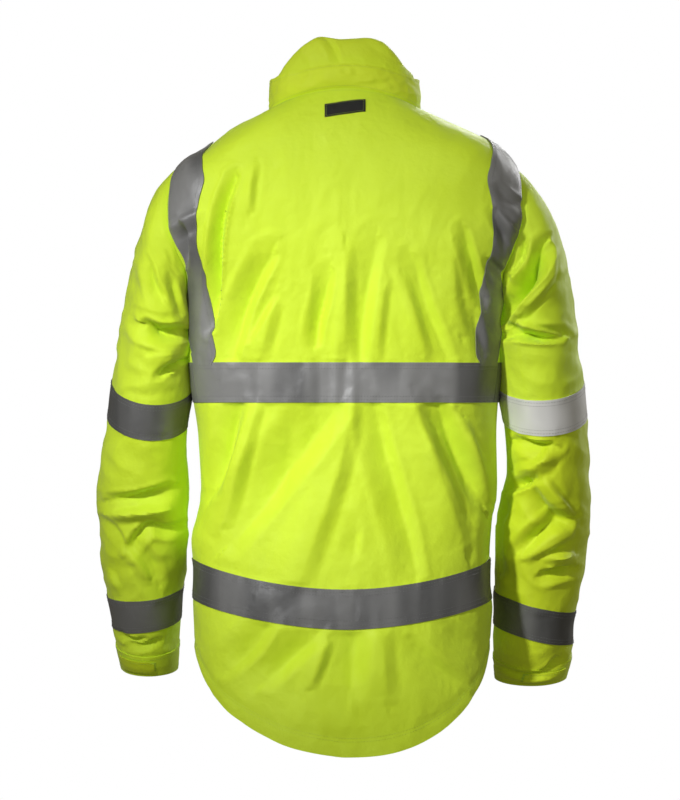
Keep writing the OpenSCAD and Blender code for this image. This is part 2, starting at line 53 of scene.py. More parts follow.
# row, half width, side z, back z, front z, back y, squareness
TRUNK = np.array([
    [0, 95, -28, 0, -85, 6, 2.3],
    [1, 126, -42, -22, -105, 19, 2.5],
    [2, 162, -62, -48, -125, 32, 2.8],
    [3, 202, -90, -80, -150, 42, 3.2],
    [4, 223, -124, -118, -175, 49, 3.5],
    [5, 232, -165, -158, -200, 53, 3.6],
    [6, 223, -203, -198, -222, 55, 3.3],
    [7, 204, -235, -235, -243, 54, 3.0],
    [8, 197, -265, -265, -265, 52, 2.8],
    [9, 195, -300, -300, -300, 50, 2.7],
    [10, 193, -343, -343, -343, 48, 2.6],
    [11, 187, -393, -393, -393, 46, 2.5],
    [12, 184, -432, -436, -432, 45, 2.5],
    [13, 183, -484, -494, -484, 46, 2.4],
    [14, 185, -540, -562, -540, 50, 2.4],
    [15, 188, -588, -626, -588, 54, 2.4],
    [16, 187, -638, -676, -638, 58, 2.4],
    [17, 186, -700, -836, -700, 64, 2.4],
], float)
# z, centre x, centre y, half width, half depth
SLEEVE = np.array([
    [-738, 241, -163, 37, 47],
    [-700, 244, -153, 42, 50],
    [-660, 246, -141, 46, 53],
    [-600, 250, -125, 53, 57],
    [-540, 251, -110, 55, 61],
    [-470, 250, -95, 54, 65],
    [-400, 246, -82, 52, 70],
    [-330, 245, -72, 45, 76],
], float)
ARMHOLE = (3.1, 8.0)  # its first and last row
MIDDLE_ROW = 10.5  # where the back's upper and lower panel meet, under the chest tape
CHEST_ROWS, HEM_ROWS = (10, 11), (15, 16)
HANG = -330.0  # the height where a sleeve's head ends and the sleeve hangs straight
NECK_Y = -62  # the middle of the neck
FRONT_Y, FRONT_LEAN = -128, 0.123  # the front line at z = 0, and how far it leans
EDGE = 6.5  # from the front line to a front panel's edge
CHEST = (-343, -393)
ARM_BAND = (-371, -414)
WRIST_BAND = (-633, -673)
# How far each outline stands out from the smooth shape, by height.
TRUNK_OUT = {
    1: [
        (-740, 4), (-690, 3), (-640, 4), (-600, 2), (-565, 7), (-535, 1), (-515, -2),
        (-440, 0), (-390, 3), (-330, 4), (-280, 3), (-250, 0),
    ],
    -1: [
        (-740, -1), (-700, -4), (-650, -1), (-620, -5), (-590, -4), (-540, 3), (-490, 8),
        (-430, 6), (-390, 5), (-330, 4), (-280, 3), (-250, 0),
    ],
}
ARM_OUTER = {
    1: [
        (-740, 5), (-600, 3), (-545, 4), (-515, 8), (-465, 4), (-430, 0), (-350, -3),
        (-300, -7), (-265, -13), (-215, -15), (-140, -12), (-90, -3),
    ],
    -1: [
        (-740, 6), (-690, 5), (-660, 0), (-600, 0), (-530, 5), (-450, 5), (-330, 4),
        (-265, -2), (-200, -2), (-150, 1), (-120, 2), (-90, 2),
    ],
}
ARM_INNER = {
    1: [
        (-740, 8), (-640, 7), (-600, 1), (-560, -2), (-500, 0), (-420, 3), (-390, -2),
        (-345, -7), (-310, -12), (-270, -8), (-235, 0),
    ],
    -1: [
        (-740, -9), (-690, -9), (-640, -6), (-550, -6), (-510, 0), (-480, 8), (-420, 6),
        (-390, 0), (-345, -9), (-310, -14), (-270, -9), (-235, 0),
    ],
}
TAIL_LIFT = [
    (-170, 0), (-90, 2.5), (-40, 1.5), (0, 1), (20, 3), (50, 6), (75, 7.5), (100, 9), (125, 8),
    (145, 4), (170, 0),
]
SPLIT = -397  # where the sleeve's cloth is divided, under the arm tape
CUFF = (-700, -738)
SHELL_THICK, SLEEVE_THICK, TAPE_THICK = 1.6, 1.5, 1.1
TAPE_OFF, LINING_OFF = 1.2, -6.5  # from the shell's outer face


def folds(*rows):
    """Folds, each from its height, its half width and the x and z of points along it."""
    return [(np.array(row[2:], float).reshape(-1, 2), *row[:2]) for row in rows]


BACK_FOLDS = folds(
    (-7, 6.5, 136, -112, 151, -150, 157, -190, 159, -229, 160, -270, 164, -300),
    (2.5, 8, 113, -98, 118, -122, 120, -150),
    (-5, 11, 92, -210, 113, -248, 127, -284, 135, -313, 141, -337),
    (-2, 7, 87, -255, 106, -289, 120, -313),
    (2.5, 12, 89, -272, 96, -301, 104, -332),
    (-3.5, 8, 19, -232, 24, -265, 32, -291, 35, -318),
    (3, 14, 1, -205, -1, -265, 1, -334),
    (-2.6, 12, -39, -193, -28, -253, -22, -296, -20, -337),
    (2, 9, -51, -241, -43, -289, -40, -337),
    (-3.2, 10, -86, -217, -101, -272, -113, -301, -126, -337),
    (2, 10, -73, -241, -89, -289, -99, -332),
    (-4, 7, -149, -179, -159, -212, -167, -243, -172, -265),
    (2.5, 12, -135, -205, -135, -253, -140, -301),
    (-2.5, 7, -159, -277, -164, -303, -170, -330),
    (-2.5, 6, -187, -124, -204, -138, -223, -148),
    (-2.5, 5, -185, -155, -197, -179, -204, -200),
    (2, 5, -197, -162, -209, -179, -219, -188),
    (-3.5, 6, -183, -217, -199, -234, -209, -243),
    (2, 6, -191, -229, -192, -253, -187, -277),
    (-6, 6, 203, -172, 199, -193, 199, -220),
    (2.5, 7, 223, -179, 204, -167, 185, -157),
    (-7, 13, 132, -397, 143, -429, 153, -462, 166, -503),
    (4, 10, 110, -402, 125, -454, 140, -503, 151, -541),
    (-5.5, 21, 11, -400, 40, -440, 69, -474, 122, -542, 142, -566),
    (3.2, 17, -3, -394, -1, -440, 12, -490, 28, -537, 55, -613),
    (-3.5, 38, 62, -398, 78, -480, 104, -600),
    (-4.5, 13, -36, -394, -48, -448, -66, -508, -84, -570, -90, -606),
    (5, 17, -86, -394, -102, -454, -124, -514, -146, -570),
    (-8, 12, -116, -396, -135, -440, -154, -481, -171, -520),
    (3, 8, -146, -419, -162, -462, -179, -514),
    (-1.5, 8, -15, -551, -11, -584),
    (-4, 14, 94, -668, 113, -701, 143, -728),
    (-5, 16, 39, -687, 67, -711, 96, -744),
    (3, 9, 23, -695, 31, -720, 42, -747),
    (-4, 22, -13, -676, -10, -706, -7, -747),
    (3, 16, -45, -679, -48, -720, -51, -760),
    (-3, 12, -83, -692, -110, -720, -146, -747),
    (-2, 12, -129, -671, -156, -692, -170, -703),
)
LEFT_SLEEVE_FOLDS = folds(
    (-9, 9, 258, -296, 238, -305, 213, -302),
    (3, 8, 242, -334, 218, -332, 199, -332),
    (-4, 5, 199, -334, 216, -346, 235, -361),
    (-3, 8, 251, -222, 247, -243, 240, -260),
    (-2.5, 6, 218, -241, 216, -260, 214, -279),
    (-5, 9, 286, -516, 259, -514, 237, -508, 218, -500),
    (3.5, 6, 286, -534, 259, -533, 227, -528),
    (-4, 7, 270, -581, 260, -560, 243, -547, 224, -553, 205, -546),
    (2.5, 5, 273, -581, 256, -598, 243, -617),
    (-3, 10, 254, -579, 237, -600, 229, -622),
    (-1.5, 5, 294, -541, 284, -557, 273, -576),
    (1.5, 5, 292, -611, 281, -631),
    (-3, 4, 278, -686, 265, -698, 246, -695),
    (-3, 4, 270, -703, 248, -706, 229, -697),
)
RIGHT_SLEEVE_FOLDS = folds(
    (-12, 9, -252, -202, -242, -230, -223, -260, -213, -278, -207, -292),
    (4, 9, -262, -206, -257, -239, -236, -272, -222, -290),
    (-4, 8, -223, -181, -223, -205, -219, -220),
    (-8, 7, -269, -312, -245, -313, -221, -308, -212, -312),
    (4, 5, -226, -295, -247, -303, -271, -309),
    (-4, 6, -209, -302, -223, -289),
    (-5, 7, -208, -440, -227, -448, -254, -448),
    (4, 8, -211, -476, -238, -470, -249, -454),
    (-5, 7, -227, -492, -205, -500),
    (4, 6, -246, -489, -265, -511, -284, -530),
    (-5, 8, -232, -503, -251, -524, -276, -538),
    (-5, 8, -281, -538, -254, -549, -230, -573),
    (3, 8, -281, -554, -259, -568, -238, -581),
    (4, 6, -259, -581, -287, -579),
    (-5, 6, -254, -602, -273, -598, -288, -594),
    (-5, 12, -200, -516, -194, -557, -200, -598),
    (-4, 5, -203, -711, -227, -725, -254, -725, -270, -706),
    (3, 4, -205, -720, -232, -735, -254, -732),
)


def mirrored(some, share):
    """The same folds on the other side of the coat."""
    return [(line * [-1, 1], high * share, wide) for line, high, wide in some]


# The front repeats the folds that aren't near its closure, its pockets or its hem.
FRONT_FOLDS = [
    (line, high, wide)
    for line, high, wide in mirrored(BACK_FOLDS, 0.8)
    if np.abs(line[:, 0]).min() > 45
    and line[:, 1].min() > -690
    and not (110 < abs(line[0, 0]) < 150 and line[0, 1] < -390)
]
BACK_SET = BACK_FOLDS + LEFT_SLEEVE_FOLDS + RIGHT_SLEEVE_FOLDS
FRONT_SET = FRONT_FOLDS + mirrored(LEFT_SLEEVE_FOLDS + RIGHT_SLEEVE_FOLDS, 0.85)
# The chest band's waves: x where each slope starts, and the slope.
CHEST_WAVE = [
    (-194, 0.07), (-156, -0.05), (-99, 0.08), (-76, -0.035), (-20, 0.12), (-10, -0.15),
    (0, 0.12), (11, -0.12), (20, 0), (31, 0.07), (44, -0.01), (104, -0.09), (119, 0.02),
    (162, 0.04), (174, -0.02),
]


# ---- Numbers --------------------------------------------------------------


def unit(v):
    return v / np.maximum(np.linalg.norm(v, axis=-1, keepdims=True), 1e-9)


def ease(a, b, x):
    t = np.clip((x - a) / (b - a), 0, 1)
    return t * t * (3 - 2 * t)


def curve(knots, values, x):
    """A smooth line through points, without overshoot."""
    k, v = np.asarray(knots, float), np.asarray(values, float)
    x = np.clip(x, k[0], k[-1])
    h = np.diff(k)
    s = np.diff(v) / h
    m = np.zeros(len(k))
    w1, w2 = 2 * h[1:] + h[:-1], h[1:] + 2 * h[:-1]
    same = s[:-1] * s[1:] > 0
    a, b = np.where(same, s[:-1], 1), np.where(same, s[1:], 1)
    m[1:-1] = np.where(same, (w1 + w2) / (w1 / a + w2 / b), 0)
    m[0], m[-1] = s[0], s[-1]
    i = np.clip(np.searchsorted(k, x, side="right") - 1, 0, len(k) - 2)
    t = (x - k[i]) / h[i]
    rest = 1 - t
    return (
        v[i] * (1 + 2 * t) * rest**2
        + m[i] * h[i] * t * rest**2
        + v[i + 1] * t * t * (3 - 2 * t)
        + m[i + 1] * h[i] * t * t * (t - 1)
    )


def noise(p, seed):
    """Smooth noise from about -1 to 1 at each point of p."""
    i = np.floor(p).astype(np.int64)
    f = p - i
    u = f**3 * (f * (f * 6 - 15) + 10)
    total = np.zeros(p.shape[:-1])
    for corner in range(8):
        o = np.array([corner & 1, corner >> 1 & 1, corner >> 2 & 1])
        c = i + o
        h = c[..., 0] * 73856093 ^ c[..., 1] * 19349663 ^ c[..., 2] * 83492791
        h = (h ^ seed * 2654435761) & 0xFFFFFFFF
        h = (h ^ (h >> 15)) * 2246822519 & 0xFFFFFFFF
        h = (h ^ (h >> 13)) * 3266489917 & 0xFFFFFFFF
        h = h ^ (h >> 16)
        g = np.stack([h & 1023, h >> 10 & 1023, h >> 20 & 1023], -1) / 511.5 - 1
        w = np.prod(np.where(o, u, 1 - u), -1)
        total += w * ((f - o) * g).sum(-1)
    return total * 1.6


def ridges(p, seed):
    """Noise with sharp valleys, as crumpled cloth has."""
    return 0.6 - np.abs(noise(p, seed)) * 2.4


def rounded(line):
    """A line with its corners cut twice."""
    for _ in range(2):
        a, b = line[:-1], line[1:]
        cut = np.empty((2 * len(a), 2))
        cut[0::2], cut[1::2] = a * 0.75 + b * 0.25, a * 0.25 + b * 0.75
        line = np.vstack([line[:1], cut, line[-1:]])
    return line


def strokes(x, z, some):
    """The height of a set of folds at each point."""
    total = np.zeros(x.shape)
    for points, high, wide in some:
        line = rounded(points)
        lo, hi = line.min(0) - 3.4 * wide, line.max(0) + 3.4 * wide
        near = (x > lo[0]) & (x < hi[0]) & (z > lo[1]) & (z < hi[1])
        if not near.any():
            continue
        q = np.stack([x[near], z[near]], -1)
        best, side, along = np.full(len(q), 1e9), np.zeros(len(q)), np.zeros(len(q))
        done = 0.0
        for a, b in zip(line[:-1], line[1:]):
            d = b - a
            long = float(np.hypot(*d))
            if long < 1e-6:
                continue
            t = np.clip(((q - a) @ d) / long**2, 0, 1)
            away = q - a - t[:, None] * d
            far = np.hypot(*away.T)
            closer = far < best
            best[closer] = far[closer]
            side[closer] = (d[0] * away[:, 1] - d[1] * away[:, 0])[closer]
            along[closer] = (done + t * long)[closer]
            done += long
        s = along / done
        taper = np.sin(np.pi * np.clip(s * 0.86 + 0.07, 0, 1)) ** 0.6
        w = wide * np.where(side > 0, 2.3, 1.05)
        soft = 0.1 * w
        dip = np.clip(1 - (np.hypot(best, soft) - soft) / w, 0, 1) ** 1.35
        rim = np.exp(-5 * ((best - w) / w) ** 2) * ease(3.3, 2.6, best / wide)
        total[near] += high * taper * (dip - 0.16 * rim)
    return total


def chest_wave(x):
    at = np.array([a for a, _ in CHEST_WAVE] + [194.0])
    slope = np.array([s for _, s in CHEST_WAVE])
    h = np.concatenate([[0], np.cumsum(slope * np.diff(at))])
    h = h - np.interp(at, [at[0], at[-1]], [h[0], h[-1]])
    return curve(at, h, x)


def relief(p, n, calm=0.0):
    """How far the cloth stands off its smooth shape, at points p with normals n.
    Calm is 1 where a stiff tape keeps the small crumples down."""
    shape = p.shape[:-1]
    loose = 1 - 0.85 * np.broadcast_to(calm, shape).ravel()
    p, n = p.reshape(-1, 3), n.reshape(-1, 3)
    x, z = p[:, 0], p[:, 2]
    back = ease(-0.4, 0.4, n[:, 1])
    arm = ease(205, 228, np.abs(x)) * ease(-170, -230, z)
    arm = np.maximum(arm, ease(196, 204, np.abs(x)) * ease(-240, -290, z))
    h = back * strokes(x, z, BACK_SET) + (1 - back) * strokes(x, z, FRONT_SET)
    h = h * (2.3 + 0.6 * arm) * (0.3 + 0.7 * loose)
    h = h + 1.8 * back * chest_wave(x) * np.exp(-(((z + 368) / 60) ** 2)) * (1 - arm)
    h = h + 1.6 * noise(p / [52, 60, 150], 3)
    fine = 0.9 * noise(p / [30, 34, 58], 4) + 0.5 * ridges(p / [30, 30, 50], 5)
    fine = fine + 0.22 * ridges(p / [12, 12, 17], 6)
    slant = np.stack([x + 0.7 * z, p[:, 1], z - 0.4 * x], -1)
    creases = 1.2 * noise(p / [36, 36, 28], 7) + 1.7 * ridges(slant / [60, 60, 34], 8)
    fine = fine + arm * creases
    h = h + fine * loose
    # The front is calm at its closure and where the pockets double it.
    middle = ease(22, 60, np.abs(x)) * 0.75 + 0.25
    pocket = ease(38, 60, np.abs(x)) * ease(-600, -580, z) * ease(-408, -426, z) * (1 - arm)
    h = h * np.where(n[:, 1] < -0.2, middle * (1 - 0.88 * pocket), 1)
    # The right shoulder sits a little higher than the left one.
    h = h + 7 * np.exp(-(((x + 170) / 62) ** 2) - ((z + 84) / 42) ** 2)
    h = h - 5 * np.exp(-(((x - 176) / 28) ** 2) - ((z + 74) / 26) ** 2)
    # Under the arm and where the arm hangs the cloth is pressed flat.
    inward = ease(0.45, 0.9, -np.abs(n[:, 0]) * np.sign(n[:, 0] * x)) * arm
    beside = ease(0.6, 0.95, np.abs(n[:, 0])) * (1 - arm) * ease(-190, -240, z)
    h = np.where(h > 0, h * (1 - 0.9 * np.maximum(inward, beside)), h)
    return h.reshape(shape)


# ---- The coat's smooth shapes ----------------------------------------------


def squircle(a, n):
    return (np.abs(np.sin(a)) ** n + np.abs(np.cos(a)) ** n) ** (-1 / n)


def trunk_point(r, a):
    r, a = np.broadcast_arrays(np.clip(r, 0, 17), a)
    col = lambda i: curve(TRUNK[:, 0], TRUNK[:, i], r)
    s, c = np.sin(a), np.cos(a)
    back = np.abs(a) <= math.pi / 2
    front_z = col(4)
    mid_y = NECK_Y - 0.5 * np.maximum(0, r - 8)
    share = np.abs(s) ** (2 + np.maximum(0, r - 16))
    end_z = np.where(back, col(3), front_z)
    deep = np.where(back, col(5) - mid_y, mid_y - FRONT_Y - FRONT_LEAN * front_z)
    q = squircle(a, col(6))
    z = col(2) * share + end_z * (1 - share)
    return np.stack([col(1) * q * s, mid_y + deep * q * c, z], -1)


def armhole_half(r):
    lo, hi = ARMHOLE
    t = np.clip((r - lo) / (hi - lo), 0, 1)
    return np.radians(32) * np.sqrt(np.sin(np.pi * t))


def armhole(psi):
    p = (psi + math.pi) % (2 * math.pi) - math.pi
    lo, hi = ARMHOLE
    r = lo + (hi - lo) * (1 - np.cos(p)) / 2
    return trunk_point(r, math.pi / 2 - np.sign(p) * armhole_half(r))


def sleeve_point(z, psi):
    z, psi = np.broadcast_arrays(z, psi)
    col = lambda i, at=z: curve(SLEEVE[:, 0], SLEEVE[:, i], at)
    rise = np.radians(5) + np.arctan2(col(2, z + 20) - col(2, z - 20), 40)
    d = col(4) * np.sin(psi)
    return np.stack([col(1) + col(3) * np.cos(psi), col(2) + d, z - d * np.tan(rise)], -1)


def head_point(t, psi):
    """The sleeve's head: t is 0 at the armhole and 1 where the sleeve hangs straight."""
    t, psi = np.broadcast_arrays(t, psi)
    c, s = np.cos(psi), np.sin(psi)
    a, b = armhole(psi), sleeve_point(HANG, psi)
    p1 = a + np.stack([39 + 36 * c, 8 * s, -40 - 20 * c], -1)
    p2 = b + np.stack([0 * c, 8 + 0 * c, 60 + 40 * c], -1)
    t = t[..., None]
    k = 1 - t
    return a * k**3 + 3 * p1 * k * k * t + 3 * p2 * k * t * t + b * t**3


def collar_point(h, a):
    h, a = np.broadcast_arrays(h, a)
    s = np.sin(a) ** 2
    back = np.abs(a) <= math.pi / 2
    top = np.where(back, 31 * (1 - s) + 9 * s, -8 * (1 - s) + 9 * s)
    z = trunk_point(0, a)[..., 2] * (1 - h) + top * h
    bulge = 4 * np.sin(np.pi * h)
    half = 95 - 5 * h + np.where(back, bulge, bulge * np.abs(np.sin(a)))
    q = squircle(a, 2.3)
    deep = np.where(back, 6 - 3 * h + bulge - NECK_Y, NECK_Y - FRONT_Y - FRONT_LEAN * z)
    return np.stack([half * q * np.sin(a), NECK_Y + deep * q * np.cos(a), z], -1)


def normals(shape, u, v, du, dv, sign=1):
    a = shape(u + du, v) - shape(u - du, v)
    b = shape(u, v + dv) - shape(u, v - dv)
    return unit(np.cross(b, a)) * sign


def outline(table, at):
    return curve([k for k, _ in table], [v for _, v in table], at)


def on_trunk(r, a, off=0.0, share=1.0):
    r, a = np.broadcast_arrays(r, a)
    p = trunk_point(r, a)
    safe = np.clip(r, 0.011, 16.989)
    n = normals(trunk_point, safe, a, 0.01, 0.002)
    near = sum(np.exp(-(((r - edge) * 50 / 8) ** 2)) for edge in (*CHEST_ROWS, *HEM_ROWS))
    pucker = 0.55 * near * noise(p / [6.5, 9, 40], 21)
    hem = 0.8 * np.exp(-(((r - 16.86) * 22) ** 2))
    hem = hem + 0.5 * ease(16.8, 17, r) * noise(p / [16, 20, 30], 22)
    calm = [ease(a - 0.1, a, r) * ease(b + 0.1, b, r) for a, b in (CHEST_ROWS, HEM_ROWS)]
    clear = np.abs(np.abs(a) - math.pi / 2) - armhole_half(r)
    seam = ease(2.6, 3.1, r) * ease(8.6, 8.0, r) * ease(0.1, 0.0, clear)
    seam = np.maximum(seam, ease(0.6, 0.0, r))
    high = relief(p, n, np.maximum(*calm)) * (1 - 0.9 * seam) + pucker - hem
    q = p + n * (off + share * high)[..., None]
    left, right = (outline(TRUNK_OUT[side], p[..., 2]) for side in (1, -1))
    q[..., 0] += np.where(p[..., 0] > 0, left, -right) * np.abs(np.sin(a)) ** 3
    q[..., 2] += outline(TAIL_LIFT, p[..., 0]) * ease(-640, -815, p[..., 2])
    return q, n


def settle(p):
    """The arms don't hang alike: the right one is a little lower and turned in."""
    low = ease(-430, -720, p[..., 2])
    right = p[..., 0] < 0
    shift = [np.where(right, 5 * low, 0), 0 * low, np.where(right, -11 * low, 5 * low)]
    return p + np.stack(shift, -1)


def on_sleeve(side, v, psi, off=0.0, share=1.0):
    """A point on a sleeve's cloth: v is t on the head, and a height below -1."""
    v, psi = np.broadcast_arrays(np.asarray(v, float), psi)
    head = v >= -1
    t, z = np.where(head, v, 1.0), np.where(head, HANG, v)
    ph, pz = head_point(t, psi), sleeve_point(z, psi)
    nh = normals(head_point, np.clip(t, 0.011, 1), psi, 0.01, 0.01, -1)
    nz = normals(sleeve_point, z, psi, 2.0, 0.01)
    turn = ease(0.9, 1.0, t)[..., None]
    nh = unit(nh * (1 - turn) + nz * turn)
    p = np.where(head[..., None], ph, pz) * [side, 1, 1]
    n = np.where(head[..., None], nh, nz) * [side, 1, 1]
    edges = (*ARM_BAND, *WRIST_BAND)
    near = sum(np.exp(-(((v - edge) / 8) ** 2)) for edge in edges)
    pucker = 0.6 * near * noise(p / [7, 7, 40], 23)
    sunk = 1.1 * (1 - ease(0.0, 0.05, t)) * head
    bands = (ARM_BAND, WRIST_BAND)
    calm = sum(ease(top + 6, top - 2, v) * ease(low - 6, low + 2, v) for top, low in bands)
    calm = np.maximum(calm, ease(-697, -704, v))
    loose = np.where(head, 0.1 + 0.9 * ease(0, 0.14, t), 1)
    p = p + n * (off + share * (relief(p, n, calm) * loose + pucker) - sunk)[..., None]
    c = np.cos(psi)
    outer, inner = (outline(table[side], p[..., 2]) for table in (ARM_OUTER, ARM_INNER))
    out = outer * (1 + c) / 2 + inner * (1 - c) / 2
    p = settle(p)
    p[..., 0] += side * out * np.where(head, ease(0, 0.45, t), 1)
    p[..., 2] += (5 if side > 0 else 9) * ease(-702, -738, z)
    return p, n


def on_collar(h, a, off=0.0, share=1.0):
    h, a = np.broadcast_arrays(h, a)
    p = collar_point(h, a)
    n = normals(collar_point, h, a, 0.01, 0.004, -1)
    bumps = 1.5 * noise(p / [30, 26, 20], 31) + 1.1 * ridges(p / [16, 16, 12], 32)
    bumps = bumps * ease(0, 0.25, h) * ease(168, 150, np.degrees(np.abs(a)))
    bumps = bumps + np.abs(np.sin(a)) ** 4 * (4.5 * h - 4 * np.sin(np.pi * np.clip(h, 0, 1)))
    return p + n * (off + share * bumps - 0.9 * (1 - ease(-0.02, 0.06, h)))[..., None], n


# ---- Meshes ----------------------------------------------------------------


def make_mesh(name, points, faces, uv=None, sharp=52):
    """A smooth-shaded object from points in millimetres and faces of one size."""
    me = bpy.data.meshes.new(name)
    n, k = faces.shape
    me.vertices.add(len(points))
    me.vertices.foreach_set("co", (points * MM).astype(np.float32).ravel())
    me.loops.add(n * k)
    me.loops.foreach_set("vertex_index", faces.astype(np.int32).ravel())
    me.polygons.add(n)
    me.polygons.foreach_set("loop_start", np.arange(0, n * k, k, dtype=np.int32))
    if uv is not None:
        layer = me.uv_layers.new(name="cloth")
        layer.data.foreach_set("uv", uv.astype(np.float32).ravel())
    me.update(calc_edges=True)
    me.polygons.foreach_set("use_smooth", np.ones(n, bool))
    me.set_sharp_from_angle(angle=math.radians(sharp))
    obj = bpy.data.objects.new(name, me)
    bpy.context.scene.collection.objects.link(obj)
    return obj


def lattice(u, v):
    return np.meshgrid(u, v, indexing="ij")


def arc(p, axis):
    step = np.linalg.norm(np.diff(p, axis=axis), axis=-1)
    pad = np.zeros_like(np.take(step, [0], axis=axis))
    return np.concatenate([pad, np.cumsum(step, axis=axis)], axis=axis)


def cloth(name, top, under, ring=False):
    """A closed sheet between two grids of points. A ring's columns meet."""
    rows, cols = top.shape[:2]
    flat = np.arange(rows * cols).reshape(rows, cols)
    full = np.concatenate([top, top[:, :1]], 1) if ring else top
    u, v = arc(full, 1) * MM, arc(full, 0) * MM
    u = u - u.max(1, keepdims=True) / 2
    nxt = np.roll(flat, -1, 1) if ring else flat[:, 1:]
    cur = flat if ring else flat[:, :-1]
    face = np.stack([cur[:-1], nxt[:-1], nxt[1:], cur[1:]], -1).reshape(-1, 4)
    both = np.stack([u, v], -1)
    corner = np.stack([both[:-1, :-1], both[:-1, 1:], both[1:, 1:], both[1:, :-1]], 2)
    corner = corner.reshape(-1, 4, 2)
    pts = top.reshape(-1, 3)
    a, b, c = (pts[face[:, k]] for k in (0, 1, 2))
    out = (top - under).reshape(-1, 3)[face[:, 0]]
    if (np.cross(b - a, c - a) * out).sum() < 0:
        face, corner = face[:, ::-1], corner[:, ::-1]
    far = rows * cols
    faces, uvs = [face, face[:, ::-1] + far], [corner, corner[:, ::-1]]
    one = np.stack([face.ravel(), np.roll(face, -1, 1).ravel()], -1)
    key = np.sort(one, 1)
    _, first, count = np.unique(key, axis=0, return_index=True, return_counts=True)
    rim = one[first[count == 1]]
    faces.append(np.stack([rim[:, 1], rim[:, 0], rim[:, 0] + far, rim[:, 1] + far], -1))
    at = corner.reshape(-1, 2)[first[count == 1]]
    uvs.append(np.repeat(at[:, None], 4, 1))
    return make_mesh(
        name,
        np.concatenate([pts, under.reshape(-1, 3)]),
        np.concatenate(faces),
        np.concatenate(uvs).reshape(-1, 2),
    )


def dress(obj, body, slot, stands_for, look=None):
    """Puts a piece on its body, if it has one, and gives it its finish."""
    if body:
        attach(obj, body)
    obj.data.materials.append(FINISH[look or slot])
    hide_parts(*stands_for)


def sheet(
    name, top, n, thick, cut, stands_for, on,
    body="coat", slot="shell", held="hung", look=None, ring=False,
):  # fmt: skip
    """A cloth piece whose under side lies a thickness below its outer face.
    Cut, the smooth grid that gives its flat size, is not used, nor is on, what it rests on."""
    obj = cloth(name, top, top - n * thick, ring)
    dress(obj, body, slot, stands_for, look)
    return obj


def bent(obj):
    """Bakes a sheet's placement into its points."""
    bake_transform(obj)


def even(shape, lo, hi, step):
    """Values from lo to hi that are evenly spaced along a line of points."""
    t = np.linspace(lo, hi, 1200)
    s = arc(shape(t), 0)
    n = max(2, int(s[-1] / step) + 1)
    return np.interp(np.linspace(0, s[-1], n), s, t)


# ---- Finishes ---------------------------------------------------------------

FINISH = {}


def wire(t, n, inputs):
    """Sets a node's inputs: a socket is linked, and anything else is a value."""
    for key, value in inputs.items():
        if isinstance(value, bpy.types.NodeSocket):
            t.links.new(value, n.inputs[key])
        else:
            n.inputs[key].default_value = value
    return n


def node(t, kind, inputs, out=0, **values):
    n = t.nodes.new("ShaderNode" + kind)
    for key, value in values.items():
        setattr(n, key, value)
    return wire(t, n, inputs).outputs[out]


def shader(name):
    m = bpy.data.materials.new(name)
    m.use_nodes = True
    FINISH[name] = m
    t = m.node_tree
    return t, next(n for n in t.nodes if n.type == "BSDF_PRINCIPLED")


def cloth_uv(t):
    return node(t, "UVMap", {}, "UV", uv_map="cloth")


def place(t):
    return node(t, "TexCoord", {}, "Object")


def noise_node(t, source, scale, detail=2.0, rough=0.5):
    inputs = {"Vector": source, "Scale": scale, "Detail": detail, "Roughness": rough}
    return node(t, "TexNoise", inputs, "Fac")


def mapped(t, *numbers):
    """Maps a source from low and high to another low and high."""
    return node(t, "MapRange", dict(enumerate(numbers)))


def bump(t, height, distance, strength, before=None):
    inputs = {"Strength": strength, "Distance": distance, "Height": height}
    return node(t, "Bump", inputs | ({"Normal": before} if before else {}), "Normal")


def weave(t, uv, *pitches):
    """The height of threads crossing at those pitches, in metres."""
    sets = []
    for axis, pitch in zip("XY", pitches):
        inputs = {"Vector": uv, "Scale": 0.314 / pitch, "Distortion": 0.4, "Detail": 1.0}
        bands = {"wave_type": "BANDS", "bands_direction": axis}
        sets.append(node(t, "TexWave", inputs, "Fac", **bands))
    return node(t, "Math", dict(enumerate(sets)), operation="MULTIPLY")


def tone(t, factor, dark, light):
    inputs = {"A": (*dark, 1), "B": (*light, 1), "Factor": factor}
    return node(t, "Mix", inputs, "Result", data_type="RGBA")


def woven(name, dark, light, rough, threads, sheen=0.15, crumple=1.0, glow=0.0):
    """Cloth: two crossing sets of threads, fine crumples and a slightly uneven dye."""
    t, b = shader(name)
    uv, at = cloth_uv(t), place(t)
    dye = tone(t, mapped(t, noise_node(t, at, 9.0, 3.0, 0.6), 0.3, 0.7, 0, 1), dark, light)
    grain = noise_node(t, at, 60.0, 3.0, 0.6)
    grain = mapped(t, grain, 0.3, 0.7, rough - 0.07, rough + 0.08)
    n = bump(t, noise_node(t, at, 85.0, 4.0, 0.62), 0.0016 * crumple, 0.55)
    n = bump(t, weave(t, uv, threads, threads * 1.1), 0.00022, 0.55, n)
    wire(t, b, {"Base Color": dye, "Roughness": grain, "Normal": n, "Sheen Weight": sheen})
    wire(t, b, {"Sheen Roughness": 0.45, "Specular IOR Level": 0.35})
    # Painted light: a faint emission in the cloth's light colour lifts its shade.
    if glow:
        wire(t, b, {"Emission Color": (*light, 1), "Emission Strength": glow})


